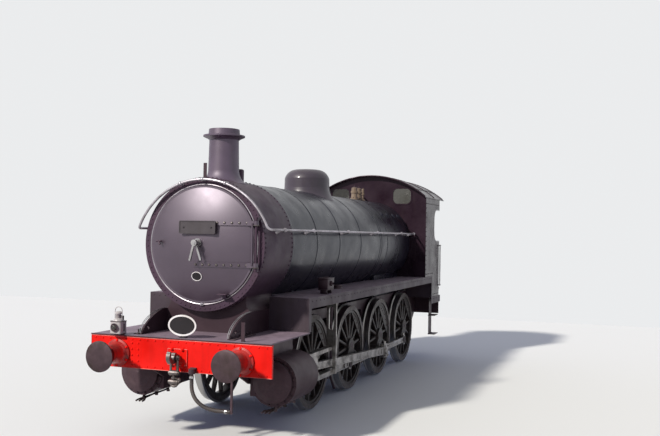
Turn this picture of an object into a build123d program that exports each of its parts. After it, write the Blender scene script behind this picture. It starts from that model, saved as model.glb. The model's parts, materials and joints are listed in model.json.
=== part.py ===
from build123d import *
from math import asin, atan2, cos, degrees, pi, radians, sin, sqrt
import os

os.makedirs("parts", exist_ok=True)

# An eight-coupled freight engine with outside cylinders, in millimetres.
# X is across the engine and +X is its left side, the front faces -Y, +Z is up.
# Heights below are above the rail, and lengths are behind the front buffer beam.

# Wheels and axles
tread_radius = 701.5
flange_depth = 28
tyre_thickness = 75
tyre_width = 140
rim_thickness = 45
rim_inset = 15
back_to_back = 1360
hub_radius = 150
hub_back = 668
hub_front = 835
axle_radius = 95
spoke_count = 14
leading_axle = 2550
axle_spacings = [1753, 1727, 1753]
crank = 330
crank_angle_left = 225
crank_angle_right = 315

# Rods
pin_radius = 60
pin_collar = 14
boss_radius = 108
boss_front = 840
coupling_rod_back = 848
coupling_rod_thickness = 52
coupling_rod_height = 104
coupling_eye_radius = 100
driving_pin_end = 932
connecting_rod_thickness = 70
connecting_rod_length = 3730
small_end_radius = 75
gudgeon_radius = 45
pin_clearance = 1
flute_depth = 12

# Frames
frame_gap = 1232
frame_thickness = 29
frame_bottom = 560
frame_top = 1420
frame_hump = 1580
frame_hump_start = 110
frame_hump_end = 750
horn_width = 240
beam_half_width = 1280
beam_thickness = 30
beam_bottom = 870
beam_top = 1270
plate_thickness = 15
platform_edge = 1250
drop_plate = 1300
running_plate_height = 1740
running_plate_edge = 1232
valance_depth = 130
valance_thickness = 12
drag_beam_back = 9400

# Buffers and draw gear
buffer_spacing = 1740
buffer_height = 1054
buffer_projection = 420
buffer_head_radius = 192
stock_length = 250
stock_radius = 150
ram_radius = 80

# Boiler
boiler_height = 2450
smokebox_radius = 880
smokebox_front = 600
smokebox_back = 1550
smokebox_wall = 16
boiler_radius = 870
firebox_front = 6300
firebox_back = 8600
firebox_foot = 950
firebox_foot_width = 1210
door_radius = 770
door_opening_radius = 715
door_dome = 145
door_wall = 14
chimney_position = 1130
chimney_radius = 208
chimney_bore = 165
chimney_height = 695
dome_position = 4240
dome_radius = 390
dome_height = 410

# Cylinders and motion
cylinder_centre = 980
cylinder_radius = 320
cylinder_front = 720
cylinder_back = 1500
cover_thickness = 110
piston_rod_radius = 38
slide_bar_gap = 150
slide_bar_height = 55
slide_bar_width = 100
slide_bar_end = 2800
crosshead_half_length = 150
cheek_thickness = 18

# Cab
cab_front = 8000
cab_sheet = 12
cab_half_width = 1220
cab_side_end = 9300
roof_radius = 1900
roof_top = 3890
roof_thickness = 15
roof_front = 7880
roof_back = 9650
floor_thickness = 40

# Derived places
y_beam = -(roof_back - buffer_projection) / 2
axle_rows = [leading_axle + sum(axle_spacings[:i]) for i in range(4)]
axle_height = tread_radius
frame_outer = frame_gap / 2 + frame_thickness
roof_centre = roof_top - roof_radius
rod_end = coupling_rod_back + coupling_rod_thickness
lamp_x = 860


def row(distance):
    """Y of a length behind the buffer beam's front face."""
    return y_beam + distance


def up(height):
    """Z of a height above the rail: the engine stands on its flanges."""
    return height + flange_depth


def across(distance):
    """Upright plane across the engine: x to its left side, y up, facing forward."""
    return Plane(origin=(0, row(distance), up(0)), x_dir=(1, 0, 0), z_dir=(0, -1, 0))


def along(offset):
    """Upright plane along the engine: x backwards from the beam, y up from the rail."""
    return Plane(origin=(offset, row(0), up(0)), x_dir=(0, 1, 0), z_dir=(1, 0, 0))


def level(height):
    """Level plane: x to the left side, y backwards from the beam."""
    return Plane(origin=(0, row(0), up(height)), x_dir=(1, 0, 0), z_dir=(0, 0, 1))


def upright(distance):
    """Section plane of a turned piece with an upright axis at this distance."""
    return Plane(origin=(0, row(distance), up(0)), x_dir=(1, 0, 0), z_dir=(0, -1, 0))


def upright_axis(distance):
    return Axis((0, row(distance), 0), (0, 0, 1))


boiler_axis = Axis((0, 0, up(boiler_height)), (0, 1, 0))
boiler_section = Plane(origin=(0, row(0), up(boiler_height)), x_dir=(1, 0, 0), z_dir=(0, 0, 1))


def boiler_edge(radius, side):
    """Height of the boiler's surface at this distance from its middle."""
    return boiler_height + sqrt(radius**2 - side**2)


# Frame plates with their hump in front and a window for each axlebox
horn_bottom = frame_bottom + 25
horn_top = axle_height + 140
slot_rows = [(front_row + back_row) / 2 for front_row, back_row in zip(axle_rows, axle_rows[1:])]
slot_height = 1150
lifting_hole = 28
frame_slope = 350
frame_edge = [
    (frame_hump_end, frame_hump),
    (smokebox_back, frame_hump),
    (smokebox_back + frame_slope, frame_top),
    (firebox_back + 100, frame_top),
    (drag_beam_back - 30, beam_top),
    (drag_beam_back - 30, beam_bottom),
    (firebox_back + frame_slope, frame_bottom),
    (cylinder_back + 200, frame_bottom),
    (cylinder_front, frame_bottom + 90),
    (cylinder_front - 450, beam_bottom),
    (beam_thickness, beam_bottom),
    (beam_thickness, beam_top),
    (frame_hump_start, beam_top),
]
with BuildPart() as frame_plates:
    with BuildSketch(along(frame_gap / 2)):
        with BuildLine():
            Polyline(*frame_edge)
            TangentArc((frame_hump_end, frame_hump), (frame_hump_start, beam_top), tangent=(-1, 0))
        make_face()
        for axle_row in axle_rows:
            with Locations((axle_row, (horn_bottom + horn_top) / 2)):
                Rectangle(horn_width, horn_top - horn_bottom, mode=Mode.SUBTRACT)
        with Locations((frame_hump_start + 190, beam_top + 90)):
            Circle(lifting_hole, mode=Mode.SUBTRACT)
        for slot_row in slot_rows:
            with Locations((slot_row, slot_height)):
                SlotOverall(520, 220, mode=Mode.SUBTRACT)
    extrude(amount=frame_thickness)
    mirror(about=Plane.YZ)
frame_plates.part.label = "frame_plates"
export_step(frame_plates.part, "parts/frame_plates.step")

# Cross plates between the frames, each with a round hole
stretcher_rows = [1950, *slot_rows[:2]]
stretcher_thickness = 25
stretcher_height = 500
stretcher_hole = 150
with BuildPart() as frame_stretchers:
    for stretcher_row in stretcher_rows:
        with BuildSketch(across(stretcher_row + stretcher_thickness)):
            with Locations((0, slot_height - 20)):
                Rectangle(frame_gap, stretcher_height)
                Circle(stretcher_hole, mode=Mode.SUBTRACT)
        extrude(amount=stretcher_thickness)
frame_stretchers.part.label = "frame_stretchers"
export_step(frame_stretchers.part, "parts/frame_stretchers.step")

# Buffer beam with the pad and the slot for the draw hook
hook_thickness = 50
hook_shank = 70
pad_width = 270
pad_height = 200
pad_thickness = 14
with BuildPart() as buffer_beam:
    with BuildSketch(across(beam_thickness)):
        with Locations((0, (beam_bottom + beam_top) / 2)):
            Rectangle(2 * beam_half_width, beam_top - beam_bottom)
    extrude(amount=beam_thickness)
    with BuildSketch(across(0)):
        with Locations((0, buffer_height)):
            RectangleRounded(pad_width, pad_height, 20)
    extrude(amount=pad_thickness)
    with BuildSketch(across(beam_thickness)):
        with Locations((0, buffer_height)):
            Rectangle(hook_thickness, hook_shank)
    extrude(amount=beam_thickness + pad_thickness, mode=Mode.SUBTRACT)
buffer_beam.part.label = "buffer_beam"
export_step(buffer_beam.part, "parts/buffer_beam.step")

# Buffers, turned: radius against length in front of the beam
stock_profile = [
    (ram_radius, 0), (stock_radius + 25, 0), (stock_radius + 25, 22), (stock_radius, 30),
    (stock_radius - 22, 70), (stock_radius - 38, stock_length - 25),
    (stock_radius - 30, stock_length - 25), (stock_radius - 30, stock_length), (ram_radius, stock_length),
]
with BuildPart() as buffer_stocks:
    buffer_plane = Plane(origin=(buffer_spacing / 2, row(0), up(buffer_height)), x_dir=(1, 0, 0))
    with BuildSketch(buffer_plane):
        with BuildLine():
            Polyline(*[(radius, -reach) for radius, reach in stock_profile], close=True)
        make_face()
    revolve(axis=Axis((buffer_spacing / 2, 0, up(buffer_height)), (0, 1, 0)))
    mirror(about=Plane.YZ)
buffer_stocks.part.label = "buffer_stocks"
export_step(buffer_stocks.part, "parts/buffer_stocks.step")

with BuildPart() as buffer_heads:
    head_back = buffer_projection - 38
    head_flat = 90
    with BuildSketch(buffer_plane):
        with BuildLine():
            Polyline(
                (head_flat, -buffer_projection), (0, -buffer_projection), (0, -20), (ram_radius, -20),
                (ram_radius, -head_back), (buffer_head_radius - 6, -head_back),
                (buffer_head_radius, -head_back - 6), (buffer_head_radius, -buffer_projection + 14),
            )
            TangentArc(
                (head_flat, -buffer_projection), (buffer_head_radius, -buffer_projection + 14),
                tangent=(1, 0),
            )
        make_face()
    revolve(axis=Axis((buffer_spacing / 2, 0, up(buffer_height)), (0, 1, 0)))
    mirror(about=Plane.YZ)
buffer_heads.part.label = "buffer_heads"
export_step(buffer_heads.part, "parts/buffer_heads.step")

# Draw hook, cut from a thick plate, with its mouth open upwards and an eye for the coupling
hook_tail = 80
shackle_row = -80
shackle_hole = 21


def hook_point(distance, lift):
    """Point of the hook's outline: length behind the beam, and height over the shank's middle."""
    return (distance, buffer_height + lift)


with BuildPart() as draw_hook:
    with BuildSketch(along(-hook_thickness / 2)):
        with BuildLine():
            Polyline(
                hook_point(-30, hook_shank / 2), hook_point(hook_tail, hook_shank / 2),
                hook_point(hook_tail, -hook_shank / 2), hook_point(-30, -hook_shank / 2),
            )
            ThreePointArc(hook_point(-30, -hook_shank / 2), hook_point(-100, -62), hook_point(-170, -66))
            ThreePointArc(hook_point(-170, -66), hook_point(-236, -14), hook_point(-226, 72))
            ThreePointArc(hook_point(-226, 72), hook_point(-210, 92), hook_point(-192, 76))
            ThreePointArc(hook_point(-192, 76), hook_point(-190, 16), hook_point(-158, -10))
            ThreePointArc(hook_point(-158, -10), hook_point(-128, 8), hook_point(-118, 48))
            ThreePointArc(hook_point(-118, 48), hook_point(-100, 66), hook_point(-76, 60))
            Line(hook_point(-76, 60), hook_point(-30, hook_shank / 2))
        make_face()
        with Locations(hook_point(shackle_row, -2)):
            Circle(shackle_hole, mode=Mode.SUBTRACT)
    extrude(amount=hook_thickness)
draw_hook.part.label = "draw_hook"
export_step(draw_hook.part, "parts/draw_hook.step")

# Screw coupling: a shackle in the hook's eye, a screw with its lever between two nuts, and a link
link_radius = 16
link_side = 48
eye_radius = 32
eye_thickness = 26
nut_radius = 34
screw_radius = 19
shackle_height = buffer_height - 2
upper_nut = 870
lower_nut = 760
link_bottom = 705
lever_radius = 9
lever_start = (0, row(shackle_row), up(812))
lever_end = (95, row(shackle_row - 40), up(800))
pin_reach = link_side + link_radius + 12
with BuildPart() as screw_coupling:
    for pin_height, pin_size in ((shackle_height, shackle_hole), (upper_nut, 20), (lower_nut, 20)):
        with BuildSketch(along(-pin_reach)):
            with Locations((shackle_row, pin_height)):
                Circle(pin_size)
        extrude(amount=2 * pin_reach)
        for side in (-1, 1):
            with BuildSketch(along(side * link_side - eye_thickness / 2)):
                with Locations((shackle_row, pin_height)):
                    Circle(eye_radius)
            extrude(amount=eye_thickness)
    with BuildSketch(level(upper_nut)):
        with Locations((-link_side, shackle_row), (link_side, shackle_row)):
            Circle(link_radius)
    extrude(amount=shackle_height - upper_nut)
    for nut_height in (upper_nut, lower_nut):
        with BuildSketch(along(-link_side)):
            with Locations((shackle_row, nut_height)):
                Circle(nut_radius)
        extrude(amount=2 * link_side)
    with BuildSketch(level(lower_nut)):
        with Locations((0, shackle_row)):
            Circle(screw_radius)
    extrude(amount=upper_nut - lower_nut)
    with BuildLine() as lever_line:
        Line(lever_start, lever_end)
    with BuildSketch(Plane(origin=lever_start, z_dir=lever_line.line % 0)):
        Circle(lever_radius)
    sweep()
    with Locations(lever_end):
        Sphere(24)
    with BuildLine() as link_line:
        link_top = link_bottom + link_side
        Line((-link_side, row(shackle_row), up(lower_nut)), (-link_side, row(shackle_row), up(link_top)))
        ThreePointArc(
            (-link_side, row(shackle_row), up(link_top)), (0, row(shackle_row), up(link_bottom)),
            (link_side, row(shackle_row), up(link_top)),
        )
        Line((link_side, row(shackle_row), up(link_top)), (link_side, row(shackle_row), up(lower_nut)))
    with BuildSketch(Plane(origin=link_line.line @ 0, z_dir=link_line.line % 0)):
        Circle(link_radius)
    sweep()
screw_coupling.part.label = "screw_coupling"
export_step(screw_coupling.part, "parts/screw_coupling.step")

# Brake hose, held by the pipe end under the beam and by its rest under the left buffer
hose_radius = 24
hose_route = [
    (225, -45, beam_bottom), (225, -45, 785), (240, -70, 700), (280, -95, 615),
    (350, -105, 540), (450, -95, 480), (560, -75, 455), (665, -60, 452), (770, -60, 452),
]


def corner_radii(points, share=0.45):
    """The largest arc at each corner that its two runs leave room for."""
    found = []
    for before, here, after in zip(points, points[1:], points[2:]):
        run_in = Vector(*here) - Vector(*before)
        run_out = Vector(*after) - Vector(*here)
        turn = radians(run_in.get_angle(run_out))
        found.append(share * min(run_in.length, run_out.length) / (sin(turn / 2) / cos(turn / 2)))
    return found


hose_points = [(x, row(distance), up(height)) for x, distance, height in hose_route]
hose_radii = corner_radii(hose_points)
print("hose arcs", [round(radius) for radius in hose_radii])
with BuildPart() as brake_hose:
    with BuildLine() as hose_line:
        FilletPolyline(*hose_points, radius=hose_radii)
    with BuildSketch(Plane(origin=hose_points[0], z_dir=hose_line.line % 0)):
        Circle(hose_radius)
    sweep()
brake_hose.part.label = "brake_hose"
export_step(brake_hose.part, "parts/brake_hose.step")

# What the hose leaves and where it rests: a pipe flange and a hanging bracket
hose_flange = 42
flange_height = 60
bracket_size = 24
foot_width = 60
with BuildPart() as hose_brackets:
    with BuildSketch(level(beam_bottom)):
        with Locations(hose_route[0][:2]):
            Circle(hose_flange)
    extrude(amount=flange_height)
    with BuildSketch(across(0)):
        with Locations((hose_route[0][0], beam_bottom + 40)):
            Rectangle(2 * hose_flange, flange_height)
    extrude(amount=20)
    hose_end = hose_route[-1]
    with BuildSketch(across(hose_end[1] + bracket_size / 2)):
        with Locations((hose_end[0] + bracket_size / 2, (beam_bottom + hose_end[2]) / 2)):
            Rectangle(bracket_size, beam_bottom - hose_end[2] + 50)
    extrude(amount=bracket_size)
    with BuildSketch(across(beam_thickness)):
        with Locations((hose_end[0] + bracket_size / 2, beam_bottom - bracket_size / 2)):
            Rectangle(foot_width, bracket_size)
    extrude(amount=beam_thickness - hose_end[1] + bracket_size / 2)
hose_brackets.part.label = "hose_brackets"
export_step(hose_brackets.part, "parts/hose_brackets.step")

# Front platform, slotted where the frame plates come up through it
with BuildPart() as front_platform:
    with BuildSketch(level(beam_top)):
        with Locations((0, drop_plate / 2)):
            Rectangle(2 * platform_edge, drop_plate)
        for side in (-1, 1):
            with Locations((side * (frame_gap + frame_thickness) / 2, (frame_hump_start + drop_plate) / 2)):
                Rectangle(frame_thickness, drop_plate - frame_hump_start, mode=Mode.SUBTRACT)
    extrude(amount=plate_thickness)
front_platform.part.label = "front_platform"
export_step(front_platform.part, "parts/front_platform.step")

# Raised running plate with its drop plates, valance and low rear part
low_plate_top = beam_top + plate_thickness
raised_bottom = running_plate_height - valance_thickness
boiler_side_gap = 12
barrel_at_plate = sqrt(boiler_radius**2 - (boiler_height - running_plate_height) ** 2) + boiler_side_gap
with BuildPart() as running_plate_left:
    plate_path = [
        (drop_plate, low_plate_top), (drop_plate, running_plate_height),
        (firebox_back, running_plate_height), (firebox_back, low_plate_top),
        (drag_beam_back, low_plate_top), (drag_beam_back, beam_top),
        (firebox_back - valance_thickness, beam_top), (firebox_back - valance_thickness, raised_bottom),
        (drop_plate + valance_thickness, raised_bottom), (drop_plate + valance_thickness, low_plate_top),
    ]
    with BuildSketch(along(frame_outer)):
        with BuildLine():
            Polyline(*plate_path, close=True)
        make_face()
    extrude(amount=running_plate_edge - frame_outer)
    with BuildSketch(level(raised_bottom)):
        with Locations(((barrel_at_plate + frame_outer) / 2, (smokebox_back + firebox_front) / 2)):
            Rectangle(frame_outer - barrel_at_plate, firebox_front - smokebox_back)
    extrude(amount=valance_thickness)
    with BuildSketch(along(running_plate_edge - valance_thickness)):
        with BuildLine():
            Polyline(
                (drop_plate, low_plate_top), (drop_plate, running_plate_height),
                (firebox_back, running_plate_height), (firebox_back, beam_top),
                (drag_beam_back, beam_top), (drag_beam_back, beam_top - valance_depth),
                (firebox_back - 60, beam_top - valance_depth),
            )
            Polyline(
                (firebox_back - 60, beam_top - valance_depth),
                (firebox_back - 60, raised_bottom - valance_depth),
                (drop_plate + 90, raised_bottom - valance_depth), (drop_plate + 90, low_plate_top),
                (drop_plate, low_plate_top),
            )
        make_face()
    extrude(amount=valance_thickness)
running_plate_left.part.label = "running_plate_left"
export_step(running_plate_left.part, "parts/running_plate_left.step")

with BuildPart() as running_plate_right:
    add(mirror(running_plate_left.part, about=Plane.YZ))
running_plate_right.part.label = "running_plate_right"
export_step(running_plate_right.part, "parts/running_plate_right.step")

# Smokebox: an open drum with the chimney's hole, closed in front by a ring with the hinge pin
hinge_x = 790
hinge_row = 530
hinge_pin_radius = 16
strap_heights = (2190, 2730)
strap_width = 62
lug_gap = 5
ring_thickness = 20
with BuildPart() as smokebox:
    with BuildSketch(across(smokebox_back)):
        with Locations((0, boiler_height)):
            Circle(smokebox_radius)
            Circle(smokebox_radius - smokebox_wall, mode=Mode.SUBTRACT)
    extrude(amount=smokebox_back - smokebox_front - ring_thickness)
    with BuildSketch(level(boiler_height)):
        with Locations((0, chimney_position)):
            Circle(chimney_bore)
    extrude(amount=smokebox_radius + 10, mode=Mode.SUBTRACT)
smokebox.part.label = "smokebox"
export_step(smokebox.part, "parts/smokebox.step")

with BuildPart() as smokebox_ring:
    with BuildSketch(across(smokebox_front + ring_thickness)):
        with Locations((0, boiler_height)):
            Circle(smokebox_radius)
            Circle(door_opening_radius, mode=Mode.SUBTRACT)
    extrude(amount=ring_thickness)
    lug_bottom = strap_heights[0] - strap_width / 2 - lug_gap
    lug_top = strap_heights[1] + strap_width / 2 + lug_gap
    with BuildSketch(level(lug_bottom - 40)):
        with Locations((hinge_x, hinge_row)):
            Circle(hinge_pin_radius)
    extrude(amount=lug_top - lug_bottom + 80)
    for lug_base in (lug_bottom - 40, lug_top):
        with BuildSketch(level(lug_base)):
            with Locations((hinge_x, (hinge_row + smokebox_front) / 2)):
                Rectangle(2 * hinge_pin_radius + 8, smokebox_front - hinge_row)
            with Locations((hinge_x, hinge_row)):
                Circle(hinge_pin_radius + 8)
        extrude(amount=40)
smokebox_ring.part.label = "smokebox_ring"
export_step(smokebox_ring.part, "parts/smokebox_ring.step")

# Saddle between the frames, hollowed at its flanks and cut to the smokebox
saddle_half = frame_gap / 2
with BuildPart() as saddle:
    with BuildSketch(across(smokebox_back)):
        with BuildLine():
            Polyline(
                (-saddle_half, frame_hump), (-saddle_half, low_plate_top),
                (saddle_half, low_plate_top), (saddle_half, frame_hump),
            )
            ThreePointArc(
                (saddle_half, frame_hump), (saddle_half - 60, frame_hump + 110),
                (saddle_half + 40, frame_hump + 300),
            )
            Line((saddle_half + 40, frame_hump + 300), (-saddle_half - 40, frame_hump + 300))
            ThreePointArc(
                (-saddle_half - 40, frame_hump + 300), (-saddle_half + 60, frame_hump + 110),
                (-saddle_half, frame_hump),
            )
        make_face()
        with Locations((0, boiler_height)):
            Circle(smokebox_radius, mode=Mode.SUBTRACT)
    extrude(amount=smokebox_back - frame_hump_end)
saddle.part.label = "saddle"
export_step(saddle.part, "parts/saddle.step")

# Chimney, turned, with its foot cut to the smokebox
chimney_foot = boiler_edge(smokebox_radius, 0)
chimney_top = chimney_foot + chimney_height
skirt_radius = chimney_radius + 120
with BuildPart() as chimney:
    with BuildSketch(upright(chimney_position)):
        with BuildLine():
            Polyline(
                (chimney_bore, chimney_foot - 120), (skirt_radius, chimney_foot - 120),
                (skirt_radius, boiler_edge(smokebox_radius, skirt_radius) + 12),
            )
            ThreePointArc(
                (skirt_radius, boiler_edge(smokebox_radius, skirt_radius) + 12),
                (chimney_radius + 32, chimney_foot + 28), (chimney_radius + 4, chimney_foot + 120),
            )
            Polyline(
                (chimney_radius + 4, chimney_foot + 120), (chimney_radius - 6, chimney_top - 150),
                (chimney_radius + 20, chimney_top - 130), (chimney_radius + 78, chimney_top - 105),
                (chimney_radius + 78, chimney_top - 85), (chimney_radius + 8, chimney_top - 70),
                (chimney_radius + 2, chimney_top), (chimney_bore, chimney_top),
                (chimney_bore, chimney_foot - 120),
            )
        make_face()
    revolve(axis=upright_axis(chimney_position))
    with BuildSketch(across(smokebox_back)):
        with Locations((0, boiler_height)):
            Circle(smokebox_radius)
    extrude(amount=smokebox_back - smokebox_front, mode=Mode.SUBTRACT)
chimney.part.label = "chimney"
export_step(chimney.part, "parts/chimney.step")

# Blast pipe on the smokebox floor, below the chimney
blast_top = boiler_height - 120
smokebox_floor = boiler_height - smokebox_radius + smokebox_wall
with BuildPart() as blast_pipe:
    with BuildSketch(upright(chimney_position)):
        with BuildLine():
            Polyline(
                (60, smokebox_floor + 30), (60, blast_top), (95, blast_top), (100, blast_top - 60),
                (140, smokebox_floor + 200), (200, smokebox_floor + 60), (200, smokebox_floor - 10),
                (0, smokebox_floor - 10), (0, smokebox_floor + 30), close=True,
            )
        make_face()
    revolve(axis=upright_axis(chimney_position))
    with BuildSketch(across(smokebox_back)):
        with Locations((0, boiler_height)):
            Circle(smokebox_radius - smokebox_wall)
    extrude(amount=smokebox_back - smokebox_front, mode=Mode.INTERSECT)
blast_pipe.part.label = "blast_pipe"
export_step(blast_pipe.part, "parts/blast_pipe.step")

# Boiler barrel and the round-topped firebox behind it
with BuildPart() as boiler_barrel:
    with BuildSketch(across(firebox_front)):
        with Locations((0, boiler_height)):
            Circle(boiler_radius)
    extrude(amount=firebox_front - smokebox_back)
boiler_barrel.part.label = "boiler_barrel"
export_step(boiler_barrel.part, "parts/boiler_barrel.step")

with BuildPart() as firebox:
    with BuildSketch(across(firebox_back)):
        with Locations((0, boiler_height)):
            Circle(boiler_radius)
        with Locations((0, (firebox_foot + boiler_height) / 2)):
            Rectangle(firebox_foot_width, boiler_height - firebox_foot)
    extrude(amount=firebox_back - firebox_front)
firebox.part.label = "firebox"
export_step(firebox.part, "parts/firebox.step")

# Dome, turned, with its flared foot cut to the barrel
dome_top = boiler_height + boiler_radius + dome_height
dome_skirt = dome_radius + 85
with BuildPart() as dome:
    with BuildSketch(upright(dome_position)):
        with BuildLine():
            Polyline(
                (0, dome_top), (0, dome_top - 620), (dome_skirt, dome_top - 620),
                (dome_skirt, boiler_edge(boiler_radius, dome_skirt) + 10),
            )
            ThreePointArc(
                (dome_skirt, boiler_edge(boiler_radius, dome_skirt) + 10),
                (dome_radius + 22, dome_top - 425), (dome_radius, dome_top - 330),
            )
            Line((dome_radius, dome_top - 330), (dome_radius - 4, dome_top - 170))
            ThreePointArc(
                (dome_radius - 4, dome_top - 170), (dome_radius - 70, dome_top - 62),
                (dome_radius - 210, dome_top - 12),
            )
            TangentArc((0, dome_top), (dome_radius - 210, dome_top - 12), tangent=(1, 0))
        make_face()
    revolve(axis=upright_axis(dome_position))
    with BuildSketch(across(firebox_front)):
        with Locations((0, boiler_height)):
            Circle(boiler_radius)
    extrude(amount=firebox_front - smokebox_back, mode=Mode.SUBTRACT)
dome.part.label = "dome"
export_step(dome.part, "parts/dome.step")

# Two safety valves and the whistle on the firebox, turned: radius against height over the cladding
firebox_crown = boiler_height + boiler_radius
valve_foot = 40
valve_profile = [(88, 30), (66, 42), (60, 130), (74, 138), (74, 172), (60, 180), (58, 238), (36, 250)]
whistle_profile = [(58, 20), (20, 30), (20, 118), (34, 124), (34, 148), (28, 152), (28, 246), (10, 262)]
valves = [(6850, valve_profile), (7120, valve_profile), (7420, whistle_profile)]
with BuildPart() as safety_valves:
    for valve_row, profile in valves:
        with BuildSketch(upright(valve_row)):
            with BuildLine():
                Polyline(
                    (0, firebox_crown - valve_foot), (profile[0][0], firebox_crown - valve_foot),
                    *[(radius, firebox_crown + lift) for radius, lift in profile],
                    (0, firebox_crown + profile[-1][1]), close=True,
                )
            make_face()
        revolve(axis=upright_axis(valve_row))
    with BuildSketch(across(firebox_back)):
        with Locations((0, boiler_height)):
            Circle(boiler_radius)
    extrude(amount=firebox_back - firebox_front, mode=Mode.SUBTRACT)
safety_valves.part.label = "safety_valves"
export_step(safety_valves.part, "parts/safety_valves.step")

# Snifting valve cover behind the chimney
snifting_row = smokebox_back - 75
snifting_width = 260
snifting_length = 110
snifting_rise = 175
snifting_foot = 60
with BuildPart() as snifting_valve:
    with BuildSketch(level(chimney_foot - snifting_foot)):
        with Locations((0, snifting_row)):
            RectangleRounded(snifting_width, snifting_length, 40)
    extrude(amount=snifting_foot + snifting_rise)
    fillet(snifting_valve.faces().sort_by(Axis.Z)[-1].edges(), radius=25)
    with BuildSketch(across(smokebox_back)):
        with Locations((0, boiler_height)):
            Circle(smokebox_radius)
    extrude(amount=smokebox_back - smokebox_front, mode=Mode.SUBTRACT)
snifting_valve.part.label = "snifting_valve"
export_step(snifting_valve.part, "parts/snifting_valve.step")

# Cab front sheet, fitted round the firebox, with two shaped windows
window_x = 690
window_z = 3450
window_width = 400
window_height = 330
window_corner = 110
roof_inner = roof_radius - roof_thickness
with BuildPart() as cab_front_sheet:
    with BuildSketch(across(cab_front + cab_sheet)):
        with Locations((0, roof_centre)):
            Circle(roof_inner)
        with Locations((0, (running_plate_height + roof_top) / 2)):
            Rectangle(2 * cab_half_width, roof_top - running_plate_height, mode=Mode.INTERSECT)
        with Locations((0, boiler_height)):
            Circle(boiler_radius, mode=Mode.SUBTRACT)
        with Locations((0, (firebox_foot + boiler_height) / 2)):
            Rectangle(firebox_foot_width, boiler_height - firebox_foot, mode=Mode.SUBTRACT)
        for side in (-1, 1):
            with Locations((side * window_x, window_z)):
                RectangleRounded(window_width, window_height, window_corner, mode=Mode.SUBTRACT)
    extrude(amount=cab_sheet)
cab_front_sheet.part.label = "cab_front"
export_step(cab_front_sheet.part, "parts/cab_front.step")

with BuildPart() as cab_glass:
    with BuildSketch(across(cab_front + cab_sheet / 2 + 3)):
        for side in (-1, 1):
            with Locations((side * window_x, window_z)):
                RectangleRounded(window_width, window_height, window_corner)
    extrude(amount=6)
cab_glass.part.label = "cab_glass"
export_step(cab_glass.part, "parts/cab_glass.step")

# Cab side sheets, cut away at the back above the waist
side_top = roof_centre + sqrt(roof_inner**2 - cab_half_width**2)
cutaway_start = 8780
cutaway_bottom = 2500
cutaway_top = 3190
cutaway_radius = 190
with BuildPart() as cab_side_left:
    with BuildSketch(along(cab_half_width - cab_sheet)):
        with BuildLine():
            Polyline(
                (cab_front + cab_sheet, running_plate_height), (cab_front + cab_sheet, side_top),
                (cab_side_end, side_top), (cab_side_end, low_plate_top),
                (firebox_back, low_plate_top), (firebox_back, running_plate_height), close=True,
            )
        make_face()
        with Locations(((cutaway_start + cab_side_end) / 2 + 200, (cutaway_bottom + cutaway_top) / 2)):
            RectangleRounded(
                cab_side_end - cutaway_start + 400, cutaway_top - cutaway_bottom, cutaway_radius,
                mode=Mode.SUBTRACT,
            )
    extrude(amount=cab_sheet)
cab_side_left.part.label = "cab_side_left"
export_step(cab_side_left.part, "parts/cab_side_left.step")

with BuildPart() as cab_side_right:
    add(mirror(cab_side_left.part, about=Plane.YZ))
cab_side_right.part.label = "cab_side_right"
export_step(cab_side_right.part, "parts/cab_side_right.step")

# Arched cab roof
roof_edge = cab_half_width + 15
with BuildPart() as cab_roof:
    with BuildSketch(across(roof_back)):
        with Locations((0, roof_centre)):
            Circle(roof_radius)
            Circle(roof_inner, mode=Mode.SUBTRACT)
        with Locations((0, roof_top)):
            Rectangle(2 * roof_edge, 2 * (roof_top - side_top + 30), mode=Mode.INTERSECT)
    extrude(amount=roof_back - roof_front)
cab_roof.part.label = "cab_roof"
export_step(cab_roof.part, "parts/cab_roof.step")

# Cab floor behind the firebox
with BuildPart() as cab_floor:
    with BuildSketch(level(frame_top)):
        with Locations((0, (firebox_back + drag_beam_back) / 2)):
            Rectangle(2 * (cab_half_width - cab_sheet), drag_beam_back - firebox_back)
    extrude(amount=floor_thickness)
cab_floor.part.label = "cab_floor"
export_step(cab_floor.part, "parts/cab_floor.step")

# Fittings on the backhead: fire door, regulator, gauges and the reversing screw
with BuildPart() as backhead_fittings:
    with BuildSketch(across(firebox_back + 60)):
        with Locations((0, 1850)):
            Ellipse(260, 190)
    extrude(amount=60)
    with BuildSketch(across(firebox_back + 140)):
        with Locations((0, 2750)):
            Circle(45)
    extrude(amount=140)
    with BuildSketch(across(firebox_back + 140)):
        with Locations((0, 2640)):
            Rectangle(34, 420)
    extrude(amount=20)
    for gauge_x in (-330, 330):
        with BuildSketch(across(firebox_back + 70)):
            with Locations((gauge_x, 2620)):
                RectangleRounded(70, 420, 20)
        extrude(amount=70)
    for dial_x in (-190, 190):
        with BuildSketch(across(firebox_back + 55)):
            with Locations((dial_x, 3020)):
                Circle(85)
        extrude(amount=55)
backhead_fittings.part.label = "backhead_fittings"
export_step(backhead_fittings.part, "parts/backhead_fittings.step")

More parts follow.
